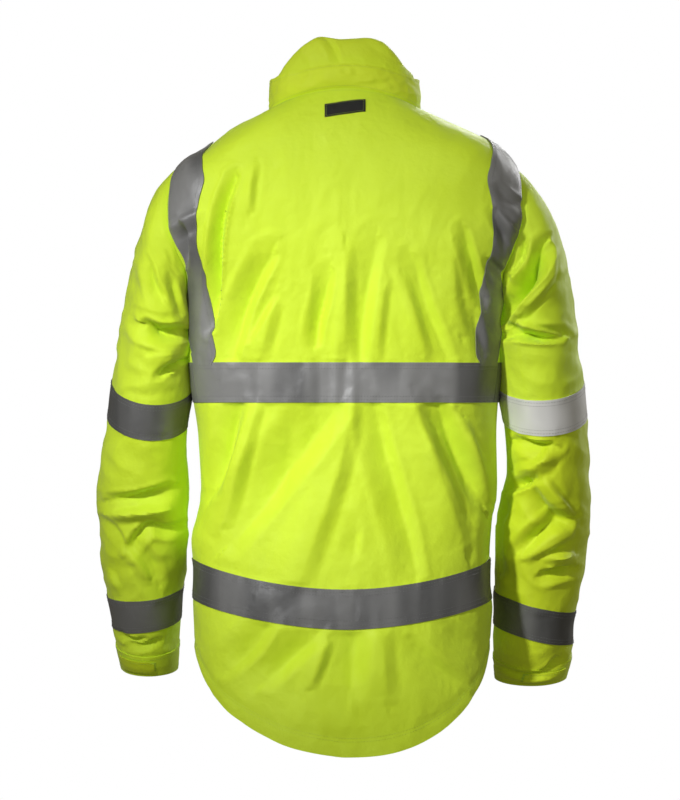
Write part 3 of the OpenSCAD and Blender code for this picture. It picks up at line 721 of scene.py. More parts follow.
def tape_finish(name, dark, light, metallic):
    """Silver bead tape: satin grey with a fine cross-hatch and small scuffs."""
    t, b = shader(name)
    uv, at = cloth_uv(t), place(t)
    down = node(t, "Mapping", {"Vector": at, "Scale": (1, 0.5, 0.16)}, "Vector")
    wear = mapped(t, noise_node(t, down, 24.0, 1.5, 0.5), 0.4, 0.6, 0, 1)
    colour = tone(t, wear, dark, light)
    scuff = mapped(t, noise_node(t, at, 160.0, 3.0, 0.65), 0.3, 0.7, 0.38, 0.54)
    n = bump(t, noise_node(t, at, 60.0, 2.0, 0.5), 0.0006, 0.4)
    n = bump(t, weave(t, uv, 0.0009, 0.0009), 0.00012, 0.4, n)
    wire(t, b, {"Base Color": colour, "Roughness": scuff, "Normal": n, "Metallic": metallic})


def hard_finish(name, dark, light, rough, metallic):
    t, b = shader(name)
    at = place(t)
    wear = mapped(t, noise_node(t, at, 120.0, 4.0, 0.6), 0.35, 0.7, 0, 1)
    colour = tone(t, wear, dark, light)
    fine = noise_node(t, at, 900.0, 3.0, 0.6)
    grain = mapped(t, fine, 0.3, 0.7, rough - 0.08, rough + 0.1)
    n = bump(t, fine, 0.00008, 0.5)
    wire(t, b, {"Base Color": colour, "Roughness": grain, "Normal": n, "Metallic": metallic})


def hook_finish(name, dark, light):
    """Hook tape: a dense field of tiny loops."""
    t, b = shader(name)
    cells = node(t, "TexVoronoi", {"Vector": place(t), "Scale": 900.0}, "Distance")
    colour, rough = tone(t, cells, dark, light), mapped(t, cells, 0, 0.8, 0.7, 0.95)
    n = bump(t, cells, 0.0006, 0.9)
    wire(t, b, {"Base Color": colour, "Roughness": rough, "Normal": n})


LIME = (0.63, 0.84, 0.022), (0.70, 0.93, 0.042)
# The lighter, yellower lime on the next line is painted light on the top of the coat, for the
# collar and hood, which also get a stronger painted glow.
PAINTED_LIT_LIME = (0.68, 0.85, 0.022), (0.75, 0.93, 0.042)
woven("shell", *LIME, 0.56, 0.0007, 0.12, 1.0, 0.04)
# The darker, duller lime on the next line is painted shade, used on the right lower sleeve,
# the right cuff and both cuff tabs.
woven("sleeve_cloth", (0.59, 0.74, 0.012), (0.66, 0.82, 0.022), 0.56, 0.0007, 0.12, 1.0, 0.04)
woven("collar_cloth", *PAINTED_LIT_LIME, 0.58, 0.0007, 0.12, 1.1, 0.08)
woven("hood_cloth", *PAINTED_LIT_LIME, 0.54, 0.0006, 0.12, 1.6, 0.07)
woven("lining", (0.012, 0.013, 0.014), (0.02, 0.021, 0.023), 0.7, 0.0011, 0.1, 1.3)
woven("label", (0.006, 0.006, 0.007), (0.014, 0.014, 0.016), 0.5, 0.0004, 0.1, 0.3)
woven("loop", (0.01, 0.01, 0.011), (0.02, 0.02, 0.022), 0.6, 0.0012, 0.1, 0.4)
woven("zip_tape", (0.010, 0.010, 0.011), (0.018, 0.018, 0.02), 0.68, 0.0008, 0.1, 0.4)
woven("thread", (0.4, 0.56, 0.04), (0.56, 0.76, 0.06), 0.5, 0.0005, 0.3, 0.2)
woven("tape_thread", (0.16, 0.165, 0.165), (0.24, 0.245, 0.245), 0.5, 0.0005, 0.2, 0.2)
# One silver tape drawn in four copies: tape is the plain one, painted_shade_tape a darker copy
# that is painted shade, and brace_tape and painted_highlight_tape lighter copies that are
# painted highlight.
tape_finish("tape", (0.155, 0.157, 0.16), (0.275, 0.277, 0.28), 0.25)
tape_finish("painted_shade_tape", (0.105, 0.107, 0.11), (0.185, 0.187, 0.19), 0.25)
tape_finish("brace_tape", (0.2, 0.202, 0.205), (0.34, 0.342, 0.345), 0.25)
tape_finish("painted_highlight_tape", (0.7, 0.7, 0.7), (0.84, 0.84, 0.84), 0.1)
hook_finish("hook_loop", (0.5, 0.7, 0.04), (0.62, 0.86, 0.06))
hard_finish("zip_plastic", (0.008, 0.008, 0.009), (0.02, 0.02, 0.022), 0.4, 0.0)
hard_finish("pull_plastic", (0.010, 0.010, 0.011), (0.024, 0.024, 0.026), 0.45, 0.0)
hard_finish("slider_metal", (0.03, 0.03, 0.032), (0.07, 0.07, 0.075), 0.36, 0.8)
hard_finish("snap_metal", (0.24, 0.24, 0.25), (0.38, 0.38, 0.4), 0.3, 0.95)

# ---- Stitches ---------------------------------------------------------------

STITCHES = {}


def stitch(body, slot, p, n, pitch=3.7, long=2.7, lift=0.12):
    """A row of stitches along a line of points with normals."""
    s = arc(p, 0)
    count = int(s[-1] / pitch)
    if count < 2:
        return
    at = (np.arange(count) + 0.5) * s[-1] / count
    pick = lambda v, x: np.stack([np.interp(x, s, v[:, i]) for i in range(3)], -1)
    mid = pick(p, at)
    way = unit(pick(p, at + 0.8) - pick(p, at - 0.8))
    out = unit(pick(n, at))
    across = unit(np.cross(way, out))
    mid = mid + out * lift
    half = way * long / 2, across * 0.32, out * 0.3
    points = np.stack([mid + d * sign for d in half for sign in (-1, 1)], 1)
    STITCHES.setdefault((body, slot), []).append(points)


OCTA = [[0, 2, 5], [2, 1, 5], [1, 3, 5], [3, 0, 5], [2, 0, 4], [1, 2, 4], [3, 1, 4], [0, 3, 4]]


def sew():
    for (body, slot), parts in STITCHES.items():
        pts = np.concatenate(parts)
        faces = (np.array(OCTA) + 6 * np.arange(len(pts))[:, None, None]).reshape(-1, 3)
        uv = np.zeros((faces.size, 2))
        name = f"{body}_{'tape' if slot == 'tape' else 'seam'}_stitches"
        obj = make_mesh(name, pts.reshape(-1, 3), faces, uv, 180)
        obj.data.materials.append(FINISH["tape_thread" if slot == "tape" else "thread"])
        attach(obj, body)


# ---- Trunk panels -----------------------------------------------------------


def spread_rows(lo, hi, step, extra=()):
    """Rows evenly spaced along the back line, with more where the armhole's ends are."""
    a = even(lambda t: trunk_point(t, 0.35), lo, hi, step)
    b = even(lambda t: trunk_point(t, 1.5), lo, hi, step * 1.6)
    out = [lo]
    for x in sorted(x for x in (*a, *b, *extra) if lo <= x <= hi):
        if x - out[-1] > 0.012:
            out.append(x)
    out[-1] = hi
    return np.array(out)


SEAM_ROWS = (3.1, 3.12, 3.16, 3.22, 7.88, 7.94, 7.98, 8.0, 16.8, 16.84, 16.88, 16.92, 16.96)


def panel_angles(rows, a0, a1, cols):
    """Angles for each row, evenly spaced along the cloth."""
    out = []
    for r, lo, hi in zip(rows, a0, a1):
        t = np.linspace(lo, hi, 240)
        s = arc(trunk_point(r, t), 0)
        out.append(np.interp(np.linspace(0, s[-1], cols), s, t))
    return np.array(out)


def panel(name, rows, span, cols, stands_for, on, off=0.0, thick=SHELL_THICK, **how):
    a = panel_angles(rows, *span, cols)
    r = np.repeat(rows[:, None], cols, 1)
    top, n = on_trunk(r, a, off)
    sheet(name, top, n, thick, trunk_point(r, a), [stands_for], [on], **how)


def back_span(rows):
    half = math.pi / 2 - armhole_half(rows) - 0.0003
    return -half, half


def front_span(rows, gap=EDGE):
    wide = curve(TRUNK[:, 0], TRUNK[:, 1], rows)
    return math.pi / 2 + armhole_half(rows) + 0.0003, math.pi - np.arcsin(gap / wide)


for word, lo, hi, cols, on in (
    ("upper", 0, MIDDLE_ROW, 215, "hanger_loop_strip"),
    ("lower", MIDDLE_ROW, 17, 200, "back_upper_cloth"),
):
    rows = spread_rows(lo, hi, 2.5, SEAM_ROWS)
    panel(f"back_{word}_cloth", rows, back_span(rows), cols, f"back_{word}", on)
rows = spread_rows(0, 17, 3.8, SEAM_ROWS)
lo, hi = front_span(rows)
for side, word in SIDES:
    span = side * lo, side * hi
    panel(f"{word}_front_cloth", rows, span, 84, f"{word}_front", "back_upper_cloth")

MESH = {"off": LINING_OFF, "thick": 0.8, "slot": "lining"}
rows = spread_rows(0.4, 16.6, 8, (3.1, 3.2, 7.9, 8.0))
panel("back_lining", rows, back_span(rows), 64, "body_lining", "back_upper_cloth", **MESH)
lo, hi = front_span(rows, 22)
for side, word in SIDES:
    span = side * lo, side * hi
    panel(f"{word}_front_lining", rows, span, 36, "body_lining", f"{word}_front_cloth", **MESH)

# Seam and hem stitching on the trunk.
t = np.radians(np.linspace(-89.5, 89.5, 700))
for row in (16.86, 16.885):
    stitch("coat", "shell", *on_trunk(row, t, 0.1))
for side, word in SIDES:
    t = side * np.radians(np.linspace(90.5, 177, 380))
    stitch("coat", "shell", *on_trunk(16.66, t, 0.1))
    for at in (0.6, 1.0):
        r = np.linspace(0.05, 16.9, 900)
        wide = curve(TRUNK[:, 0], TRUNK[:, 1], r)
        edge = math.pi - np.arcsin((EDGE + 12 * at) / wide)
        stitch("coat", "shell", *on_trunk(r, side * edge, 0.1))
    for back in (1, -1):
        r = np.linspace(ARMHOLE[0] + 0.02, ARMHOLE[1] - 0.02, 500)
        a = math.pi / 2 - back * (armhole_half(r) + 0.024)
        stitch("coat", "shell", *on_trunk(r, side * a, 0.1))
t = np.radians(np.linspace(-89, 89, 400))
stitch("coat", "shell", *on_trunk(0.13, t, 0.1))

# ---- Tapes round the trunk and over the shoulders ----------------------------


def trunk_tape(name, rows, a0, a1):
    """A tape round the trunk between two rows and two angles in degrees."""
    a0, a1 = math.radians(a0), math.radians(a1)
    r = np.linspace(*rows, 17)
    cols = max(12, int(abs(a1 - a0) * 170 / 3.2))
    a = panel_angles(r, np.full(17, a0), np.full(17, a1), cols)
    r = np.repeat(r[:, None], cols, 1)
    top, n = on_trunk(r, a, TAPE_OFF)
    # The hem tapes get the darker tape copy: painted shade.
    look = "painted_shade_tape" if rows == HEM_ROWS else "tape"
    sheet(
        f"{name}_strip", top, n, TAPE_THICK, trunk_point(r, a), [name], ["back_upper_cloth"],
        slot="tape", held="laid", look=look,
    )  # fmt: skip
    t = np.linspace(a0, a1, cols * 3)
    for share in TAPE_SEAMS:
        row = rows[0] + (rows[1] - rows[0]) * share
        stitch("coat", "tape", *on_trunk(row, t, TAPE_OFF + 0.05))


TAPE_SEAMS = (0.07, 0.16, 0.84, 0.93)  # where rows of stitches cross a tape's width
TAPE_END = 180 - math.degrees(math.asin(EDGE / 190))
for word, rows, where in (("chest", CHEST_ROWS, 70), ("hem", HEM_ROWS, 90)):
    trunk_tape(f"{word}_tape_back", rows, 0.3 - where, where - 0.3)
    for side, arm in SIDES:
        trunk_tape(f"{word}_tape_{arm}", rows, side * (where + 0.3), side * TAPE_END)

# outer row, outer angle, inner row, inner angle, from the chest tape up to the ridge
BRACE = [
    [10.08, 67, 10.08, 52.5], [9.7, 70, 9.7, 49.5], [9, 74, 9, 50.5], [8, 76, 8, 51.5],
    [7.5, 69, 7.5, 51], [7, 63, 7, 49], [6, 56.5, 6, 46], [5, 56.5, 5, 43], [4, 63, 4, 43],
    [3.6, 70, 3.4, 47], [3.35, 75, 2.95, 53], [3.2, 79, 2.6, 61], [3.1, 83, 2.35, 70],
    [3.05, 87, 2.2, 80], [3.02, 90, 2.1, 90],
]
stations = np.array(BRACE + [[a, 180 - b, c, 180 - d] for a, b, c, d in BRACE[-2::-1]], float)
index = np.arange(len(stations), dtype=float)


def brace_spot(s, w):
    """A point of the shoulder tape: s runs along it and w from its inner to its outer edge."""
    c = [curve(index, stations[:, k], s) for k in range(4)]
    return c[2] + (c[0] - c[2]) * w, np.radians(c[3] + (c[1] - c[3]) * w)


def brace_off(r):
    return 1.5 + 0.6 * ease(5.6, 3.6, r)


s_line = even(lambda t: trunk_point(*brace_spot(t, 0.5)), 0, index[-1], 2.4)
for side, word in SIDES:
    s, w = lattice(s_line, np.linspace(0, 1, 21))
    r, a = brace_spot(s, w)
    top, n = on_trunk(r, side * a, brace_off(r))
    # The right shoulder tape gets the lighter brace copy of the tape: painted highlight.
    sheet(
        f"{word}_brace_tape_strip", top, n, 1.4, trunk_point(r, a), [f"{word}_brace_tape"],
        ["back_upper_cloth", f"{word}_front_cloth"], slot="tape", held="laid",
        look="tape" if side > 0 else "brace_tape",
    )  # fmt: skip
    for share in (0.08, 0.92):
        r, a = brace_spot(np.linspace(0.05, index[-1] - 0.05, 1500), share)
        stitch("coat", "tape", *on_trunk(r, side * a, brace_off(r) + 0.05))

# ---- Collar, hood, label and loop --------------------------------------------

reach = math.pi - math.asin(EDGE / 87)
levels = np.concatenate([[-0.12, -0.04], np.linspace(0, 1, 22)])
h, a = lattice(levels, np.linspace(-reach, reach, 230))
top, n = on_collar(h, a)
sheet(
    "collar_cloth_piece", top, n, 2.2, collar_point(h, a), ["collar"], ["back_upper_cloth"],
    slot="collar_cloth",
)  # fmt: skip
t = np.linspace(-reach + 0.05, reach - 0.05, 900)
for level in (0.9, 0.1):
    stitch("coat", "collar_cloth", *on_collar(level, t, 0.05))

HOOD_LINE = [
    (-88, 8), (-86, 13), (-71, 28), (-57, 48), (-44, 60), (-27, 64), (-12, 62.5), (4, 62),
    (29, 65), (46, 57), (66, 39), (78, 20), (86, 10),
]
HOOD_FOLDS = folds(
    (-4, 5, 28, 68, 14, 55, 7, 34),
    (-2, 8, 62, 44, 54, 34, 50, 22),
    (-2.5, 8, -24, 62, -38, 48, -62, 36),
)


def hood_point(b, k):
    """A point of the rolled hood: b runs round the neck and k round the roll."""
    b, k = np.broadcast_arrays(b, k)
    x0 = np.sin(b) * 80
    line = np.array(HOOD_LINE, float)
    end = ease(75, 96, np.degrees(np.abs(b)))
    top = curve(line[:, 0], line[:, 1], x0) * (1 - end) + (10 - 3 * end) * end
    share = 1 - (np.degrees(np.abs(b)) / 106) ** 3
    high, thick = (top + 2) / 2, 3 + 9 * share
    lean = -6 * (np.sin(k) + 1) * np.maximum(0, np.cos(b))
    c = np.cos(k)
    out = thick * np.sign(c) * np.abs(c) ** 0.7 * np.where(c < 0, 1.35, 1)
    y = NECK_Y + np.cos(b) * (41 + out) + lean
    return np.stack([x0 + np.sin(b) * out, y, (top - 2) / 2 + high * np.sin(k)], -1)


b, k = lattice(np.radians(np.linspace(-100, 100, 190)), np.linspace(0, 2 * math.pi, 73)[:-1])
p = hood_point(b, k)
n = normals(hood_point, b, k, 0.004, 0.01)
n = n * np.sign((n * (p - hood_point(b, k + math.pi))).sum(-1, keepdims=True) + 1e-9)
rise = strokes(p[..., 0].ravel(), p[..., 2].ravel(), HOOD_FOLDS).reshape(b.shape)
rise = rise * ease(0, 0.5, n[..., 1])
rise = rise + 1.2 * noise(p / [46, 40, 40], 41) + 0.3 * ridges(p / [26, 26, 30], 42)
hood = p + n * rise[..., None]
# Its ends are closed by rings that shrink towards their middle.
first, last = (
    [(hood[i] * w + hood[i].mean(0) * (1 - w))[None] for w in (0.05, 0.6)] for i in (0, -1)
)
grid = np.concatenate([*first, hood, *last[::-1]])
m = grid.shape[1]
flat = np.arange(grid.shape[0] * m).reshape(grid.shape[:2])
nxt = np.roll(flat, -1, 1)
face = np.stack([flat[:-1], nxt[:-1], nxt[1:], flat[1:]], -1).reshape(-1, 4)
pts = grid.reshape(-1, 3)
mid = pts[face].mean(1)
centre = np.repeat(grid.mean(1), m, 0).reshape(grid.shape)[:-1].reshape(-1, 3)
way = np.cross(pts[face[:, 1]] - pts[face[:, 0]], pts[face[:, 2]] - pts[face[:, 0]])
if (way * (mid - centre)).sum() < 0:
    face = face[:, ::-1]
u, v = lattice(np.arange(grid.shape[0]) * 0.0019, np.arange(m + 1) * 0.0022)
uv = np.stack([u, v], -1)
uv = np.stack([uv[:-1, :-1], uv[:-1, 1:], uv[1:, 1:], uv[1:, :-1]], 2).reshape(-1, 2)
obj = make_mesh("rolled_hood", pts, face, uv, 60)
dress(obj, "coat", "hood_cloth", ["stowed_hood"])


def label_spot(r, x):
    """A point of the label, x millimetres from its middle. It is sewn on a little askew."""
    row = r + 0.0055 * x
    return row, np.arcsin(x / curve(TRUNK[:, 0], TRUNK[:, 1], row))


r, x = lattice(np.linspace(0.79, 1.46, 14), np.linspace(-25, 25, 40))
r, a = label_spot(r, x)
top, n = on_trunk(r, a, 1.5)
sheet(
    "neck_label_patch", top, n, 1.2, trunk_point(r, a), ["neck_label"], ["back_upper_cloth"],
    slot="label", held="laid",
)  # fmt: skip
for r0, r1, x0, x1 in (
    (0.84, 0.84, -23, 23),
    (1.41, 1.41, -23, 23),
    (0.84, 1.41, -23, -23),
    (0.84, 1.41, 23, 23),
):
    line = label_spot(np.linspace(r0, r1, 80), np.linspace(x0, x1, 80))
    stitch("coat", "label", *on_trunk(*line, 1.55), pitch=2.4, long=1.7)

x, z = lattice(np.linspace(-32, 32, 70), np.linspace(-0.4, -7.6, 9))
y = 0.6 - 9.6 * np.cos(np.pi * x / 64) ** 2
top = np.stack([x, y, z + 0.25 * np.sin(x / 5)], -1)
sheet(
    "hanger_loop_strip", top, np.array([0, 1, 0]), 1.4, top, ["hanger_loop"],
    ["collar_cloth_piece"], slot="loop", held="stretched",
)  # fmt: skip

# ---- Sleeves ------------------------------------------------------------------

PSI = np.linspace(0, 2 * math.pi, 145)[:-1]


def band_v(top, low, share, psi, tilt, sag):
    """The height of a sleeve tape's line, which tilts and sags as the tape is sewn."""
    return top + (low - top) * share + tilt * np.cos(psi) - sag * np.maximum(0, np.sin(psi))


for side, word in SIDES:
    left = side > 0
    upper, lower = f"{word}_sleeve", f"{word}_forearm"
    # The right lower sleeve and cuff take the darker lime: painted shade.
    shell_or_painted_shade = "shell" if left else "sleeve_cloth"
    head = even(lambda t: head_point(t, 0.6), 0, 1, 2.8)
    hang = np.append(np.arange(HANG - 2.8, SPLIT, -2.8), SPLIT)
    v, psi = lattice(np.concatenate([head, hang]), PSI)
    top, n = on_sleeve(side, v, psi)
    tuck = top[0] + unit(top[0] - top[2]) * 5 - n[0] * 1.5  # under the trunk's edge
    top, n = np.concatenate([tuck[None], top]), np.concatenate([n[:1], n])
    cut = [head_point(head[:, None], PSI[None]), sleeve_point(hang[:, None], PSI[None])]
    obj = sheet(
        f"{word}_sleeve_head_cloth", top, n, SLEEVE_THICK, np.concatenate(cut),
        [f"{word}_sleeve_head", f"{word}_upper_sleeve"],
        [f"{word}_front_cloth", "back_upper_cloth"], body=None, ring=True,
    )  # fmt: skip
    bent(obj)

    z = np.append(np.arange(SPLIT - 0.6, CUFF[0] - 9, -2.7), CUFF[0] - 10)
    v, psi = lattice(z, PSI)
    obj = sheet(
        f"{word}_lower_sleeve_cloth", *on_sleeve(side, v, psi), SLEEVE_THICK,
        sleeve_point(v, psi), [f"{word}_elbow_sleeve", f"{word}_forearm_sleeve"],
        [f"{word}_sleeve_head_cloth"], body=None, look=shell_or_painted_shade, ring=True,
    )  # fmt: skip
    bent(obj)

    z = [CUFF[0], CUFF[0] - 0.8, *np.arange(CUFF[0] - 3, CUFF[1], -2.6), CUFF[1]]
    v, psi = lattice(z, PSI)
    sheet(
        f"{word}_cuff_cloth", *on_sleeve(side, v, psi, 1.3), 2.6, sleeve_point(v, psi),
        [f"{word}_cuff"], [f"{word}_lower_sleeve_cloth"], body=lower, look=shell_or_painted_shade, ring=True,
    )  # fmt: skip
    t = np.linspace(0, 2 * math.pi, 400)
    for z in (CUFF[0] - 4, CUFF[1] + 5):
        stitch(lower, "shell", *on_sleeve(side, z, t, 1.4))

    for label, band, body, hang_of in (
        ("arm", ARM_BAND, upper, (4, 8) if left else (2, 3)),
        ("wrist", WRIST_BAND, lower, (-5, -6) if left else (-12, -11)),
    ):
        share, psi = lattice(np.linspace(0, 1, 17), PSI)
        v = band_v(*band, share, psi, *hang_of)
        # The left arm tape and both wrist tapes get the darker tape copy, which is painted
        # shade; the right arm tape gets the lightest copy, a painted highlight.
        look = "painted_shade_tape" if left or label == "wrist" else "painted_highlight_tape"
        sheet(
            f"{word}_{label}_tape_ring", *on_sleeve(side, v, psi, TAPE_OFF), TAPE_THICK,
            sleeve_point(v, psi), [f"{word}_{label}_tape"], [f"{word}_lower_sleeve_cloth"],
            body=body, slot="tape", held="laid", look=look, ring=True,
        )  # fmt: skip
        for share in TAPE_SEAMS:
            v = band_v(*band, share, t, *hang_of)
            stitch(body, "tape", *on_sleeve(side, v, t, TAPE_OFF + 0.05))

    # The cuff's hook patch and its tab.
    v, psi = lattice(np.linspace(-708, -726, 9), np.radians(np.linspace(58, 106, 26)))
    sheet(
        f"{word}_cuff_hook_patch", *on_sleeve(side, v, psi, 2.0), 0.6, sleeve_point(v, psi),
        [f"{word}_cuff_patch"], [f"{word}_cuff_cloth"],
        body=lower, slot="hook_loop", held="laid",
    )  # fmt: skip
    v, psi = lattice(np.linspace(-706, -728, 12), np.radians(np.linspace(36, 102, 36)))
    corner = 4 * ease(0.8, 1.0, (psi - psi.min()) / np.ptp(psi)) ** 2
    v = -717 + (v + 717) * (1 - corner / 11)
    # The cuff tabs take the darker lime: painted shade.
    obj = sheet(
        f"{word}_cuff_tab_cloth", *on_sleeve(side, v, psi, 3.6), 1.3, sleeve_point(v, psi),
        [f"{word}_cuff_tab"], [f"{word}_cuff_hook_patch"],
        body=None, held="laid", look="sleeve_cloth",
    )  # fmt: skip
    bent(obj)
    t = np.radians(np.linspace(48, 99, 140))
    for z in (-709.0, -725.0):
        stitch(f"{word}_tab", "shell", *on_sleeve(side, z, t, 3.7))
    z = np.linspace(-708, -726, 60)
    for degrees in (37.0, 39.5):
        stitch(lower, "shell", *on_sleeve(side, z, math.radians(degrees), 3.7))

# ---- Front closure --------------------------------------------------------------

TILT = math.atan(FRONT_LEAN)
ZIP_TOP, ZIP_LONG = -14.0, 679.1


def front(x, y, down):
    """A point near the front line: y points inward and down runs along the zip."""
    x, y, down = (v.astype(float) for v in np.broadcast_arrays(x, y, down))
    c, s = math.cos(TILT), math.sin(TILT)
    top = FRONT_Y + FRONT_LEAN * ZIP_TOP
    return np.stack([x, top + y * c - down * s, ZIP_TOP - y * s - down * c], -1)


OUT = front(0, -1, 0) - front(0, 0, 0)
for side, word in SIDES:
    x, d = lattice(np.linspace(3.6, 17.6, 7), np.linspace(0.5, ZIP_LONG - 0.5, 200))
    top = front(side * x, 3.3 + 0.12 * np.sin(d / 9), d)
    sheet(
        f"{word}_zip_tape_strip", top, OUT, 0.8, top, ["zip_tapes"], [f"{word}_front_cloth"],
        slot="zip_tape", held="stretched",
    )  # fmt: skip

# Each tooth is a small block with a narrower head that meets the other side's.
TOOTH = np.array(
    [
        [0.35, 1.9, -0.55], [0.35, 3.7, -0.55], [0.35, 3.7, 0.55], [0.35, 1.9, 0.55],
        [1.3, 1.7, -0.8], [1.3, 3.9, -0.8], [1.3, 3.9, 0.8], [1.3, 1.7, 0.8],
        [1.9, 1.8, -0.5], [1.9, 3.9, -0.5], [1.9, 3.9, 0.5], [1.9, 1.8, 0.5],
        [3.3, 2.3, -0.75], [3.3, 4.0, -0.75], [3.3, 4.0, 0.75], [3.3, 2.3, 0.75],
    ]
)  # fmt: skip
ROUND = [
    [4 * i + j, 4 * i + 4 + j, 4 * i + 4 + (j + 1) % 4, 4 * i + (j + 1) % 4]
    for i in range(3)
    for j in range(4)
]
BLOCK = np.array([[0, 1, 2, 3], [15, 14, 13, 12]] + ROUND)
pts, faces = [], []
for side, start in ((1, 17), (-1, 18.6)):
    for d in np.arange(start, ZIP_LONG - 6, 3.2):
        faces.append((BLOCK if side < 0 else BLOCK[:, ::-1]) + len(TOOTH) * len(pts))
        pts.append(front(side * TOOTH[:, 0], TOOTH[:, 1], d + TOOTH[:, 2]))
faces, pts = np.concatenate(faces), np.concatenate(pts)
obj = make_mesh("zip_tooth_rows", pts, faces, np.zeros((faces.size, 2)), 35)
dress(obj, "coat", "zip_plastic", ["zip_teeth"])

# The storm flap and the bands that cross it.
FLAP_TOP, FLAP_END = -97.0, -694


def on_flap(x, z, off=0.0):
    """The storm flap's outer face at x and at a height z."""
    d = (ZIP_TOP - np.asarray(z, float)) / math.cos(TILT)
    p = front(x, -8.4, d)
    wave = 1.0 * noise(p / [40, 40, 70], 51) + 0.5 * ridges(p / [16, 20, 24], 52)
    drop = 6.6 * ease(20, 31, p[..., 0])
    high = wave * ease(30, 20, p[..., 0]) + off - drop
    return p + OUT * high[..., None], np.broadcast_to(OUT, p.shape)


def flap_bend(obj):
    """The flap is sewn down along its left edge; its bend beside the seam comes from on_flap,
    and this only bakes its placement into its points.
    """
    bent(obj)


x, z = lattice(np.linspace(-30, 32, 28), np.linspace(FLAP_TOP, FLAP_END, 200))
obj = sheet(
    "storm_flap_cloth", on_flap(x, z)[0], OUT, 1.4, front(x, 0, -z), ["storm_flap"],
    ["left_front_cloth"], body=None,
)  # fmt: skip
flap_bend(obj)
z = np.linspace(FLAP_TOP - 4, FLAP_END + 4, 900)
for edge, body in ((-28.0, "front_flap"), (-24.0, "front_flap"), (30.2, "coat")):
    stitch(body, "shell", *on_flap(edge, z, 0.1))
# The flap's hem tape gets the darker tape copy: painted shade.
for word, look, high, low in (("chest", "tape", *CHEST), ("hem", "painted_shade_tape", -588, -638)):
    x, z = lattice(np.linspace(-29.8, 31.8, 26), np.linspace(high, low, 15))
    obj = sheet(
        f"flap_tape_{word}_strip", on_flap(x, z, 0.75)[0], OUT, 0.6, front(x, 0, -z),
        ["flap_tapes"], ["storm_flap_cloth"], body=None, slot="tape", held="laid", look=look,
    )  # fmt: skip
    flap_bend(obj)
    x = np.linspace(-29, 19, 100)
    for share in TAPE_SEAMS[::3]:
        stitch("front_flap", "tape", *on_flap(x, high + (low - high) * share, 0.8))

# ---- Pockets ---------------------------------------------------------------------


def row_at(z):
    r = np.linspace(8, 17, 900)
    return np.interp(-np.asarray(z, float), -curve(TRUNK[:, 0], TRUNK[:, 4], r), r)


def on_pocket(side, z, deg, off):
    return on_trunk(row_at(z), side * np.radians(deg), off)


for side, word in SIDES:
    z, deg = lattice(np.linspace(-440, -578, 56), np.linspace(120, 160, 52))
    from_side = np.minimum(deg - 120, 160 - deg) * 3.1
    puff = 8 * ease(0, 8, from_side) * ease(0, 7, z + 578) + 0.6
    p, n = on_pocket(side, z, deg, puff + 1.1)
    puffy = 0.9 * ridges(p / [20, 20, 26], 61) * ease(0, 10, from_side)
    cut = trunk_point(row_at(z), np.radians(deg))
    sheet(
        f"{word}_pocket_cloth", p + n * puffy[..., None], n, 1.1, cut, [f"{word}_pocket"],
        [f"{word}_front_cloth"],
    )  # fmt: skip
    for inset in (1.0, 3.0):
        deg = np.linspace(120.2 + inset / 3, 159.8 - inset / 3, 240)
        high = 2.1 + 8 * ease(0, 7, np.array(1.0 + inset))
        stitch("coat", "shell", *on_pocket(side, -577.0 + inset, deg, high))
    z, deg = lattice(np.linspace(-428, -480, 26), np.linspace(118.5, 161.5, 52))
    off = curve([-480, -458, -435, -428], [12.2, 12.2, 11.6, 2.2], z)
    cut = trunk_point(row_at(z), np.radians(deg))
    flap = f"{word}_pocket_flap"
    sheet(
        f"{flap}_cloth", *on_pocket(side, z, deg, off), 1.2, cut, [flap],
        [f"{word}_front_cloth"], body=flap,
    )  # fmt: skip
    deg = np.linspace(119.5, 160.5, 240)
    for z, high in ((-430.5, 6.6), (-476.0, 12.3)):
        stitch(flap, "shell", *on_pocket(side, z, deg, high))

sew()

# ---- The CAD parts that are shown as they are ---------------------------------------

KEPT = {
    "zip_stops": "slider_metal",
    "zip_slider": "slider_metal",
    "zip_pull": "pull_plastic",
    "flap_snap_caps": "snap_metal",
    "flap_snap_sockets": "snap_metal",
    "left_pocket_snap": "snap_metal",
    "right_pocket_snap": "snap_metal",
}
for name, slot in KEPT.items():
    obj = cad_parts[name]
    for s in obj.material_slots:
        s.material = FINISH[slot]
    if not obj.material_slots:
        obj.data.materials.append(FINISH[slot])

# ---- Stage ---------------------------------------------------------------------------

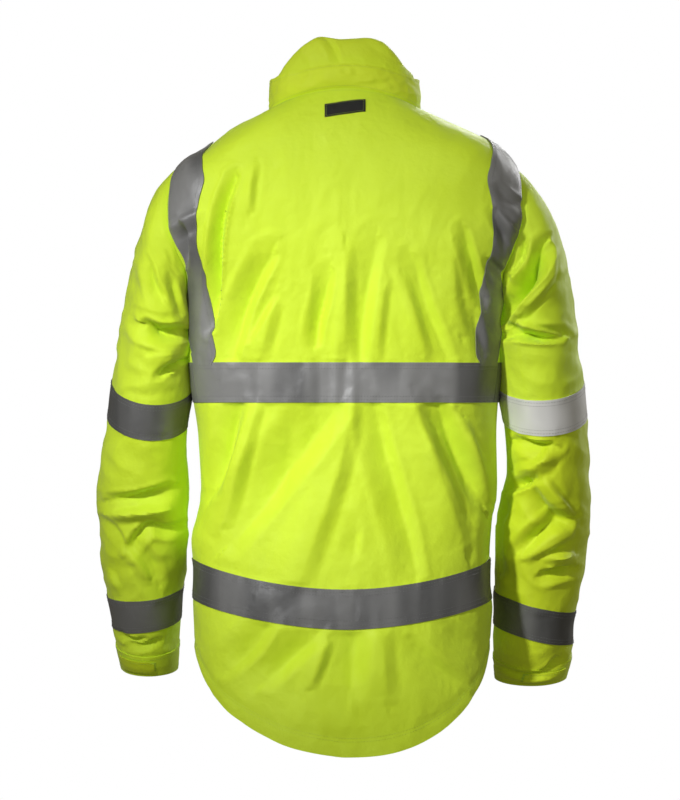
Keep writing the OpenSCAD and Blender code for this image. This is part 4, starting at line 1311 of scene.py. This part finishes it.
bpy.ops.mesh.primitive_plane_add(size=1)
floor = bpy.context.object
floor.name = "floor"
floor.scale = (6.4, 6.4, 1)
floor.location = (0, 0, -1.02)
pale = bpy.data.materials.new("pale_floor")
pale.use_nodes = True
t = pale.node_tree
b = next(n for n in t.nodes if n.type == "BSDF_PRINCIPLED")
wire(t, b, {"Base Color": (0.82, 0.82, 0.82, 1), "Roughness": 0.8})
wire(t, b, {"Emission Color": (1, 1, 1, 1), "Emission Strength": 0.4})
floor.data.materials.append(pale)
floor.visible_diffuse = False
floor.visible_glossy = False

scene = bpy.context.scene
world = bpy.data.worlds.new("studio")
scene.world = world
world.use_nodes = True
t = world.node_tree
seen = node(t, "LightPath", {}, "Is Camera Ray")
colour = tone(t, seen, (1, 0.92, 0.7), (1, 1, 1))
strength = mapped(t, seen, 0, 1, 0.14, 1.0)
wire(t, t.nodes["Background"], {"Color": colour, "Strength": strength})


def lamp(name, place, aim, size, power):
    light = bpy.data.lights.new(name, "AREA")
    light.shape = "DISK"
    light.size = size
    light.energy = power
    obj = bpy.data.objects.new(name, light)
    scene.collection.objects.link(obj)
    obj.location = place
    way = Vector(aim) - Vector(place)
    obj.rotation_mode = "QUATERNION"
    obj.rotation_quaternion = way.to_track_quat("-Z", "Y")
    return obj


def spot(name, place, aim, wide, soft, power):
    obj = lamp(name, place, aim, 0.5, power)
    light = bpy.data.lights.new(name, "SPOT")
    light.energy = power
    light.spot_size = math.radians(wide)
    light.spot_blend = 1.0
    light.shadow_soft_size = soft
    obj.data = light
    return obj


KEY = (1.9, 3.0, 1.4)
spot("key_high", KEY, (0.05, 0, -0.12), 19, 0.15, 222)
spot("key_low", KEY, (0.01, 0, -0.5), 14, 0.15, 440)
lamp("fill", (-2.0, 3.6, 0.0), (0, 0, -0.4), 2.4, 14)
spot("top_spot", (0.3, 3.0, 1.0), (0.0, 0, -0.22), 19, 0.25, 30)
lamp("front_key", (-2.4, -2.8, 0.9), (0, 0, -0.35), 1.6, 50)
spot("front_spot", (-0.5, -3.0, 1.2), (0.0, 0, -0.22), 22, 0.4, 200)

cam = bpy.data.cameras.new("camera")
cam.lens = 495
cam.sensor_width = 36
camera = bpy.data.objects.new("camera", cam)
scene.collection.objects.link(camera)
camera.location = (0.00625, 13.75, -0.390)
camera.rotation_mode = "QUATERNION"
camera.rotation_quaternion = Vector((0, -1, 0)).to_track_quat("-Z", "Y")
cam.clip_end = 60
scene.camera = camera
scene.view_settings.view_transform = "Standard"
scene.view_settings.look = "None"
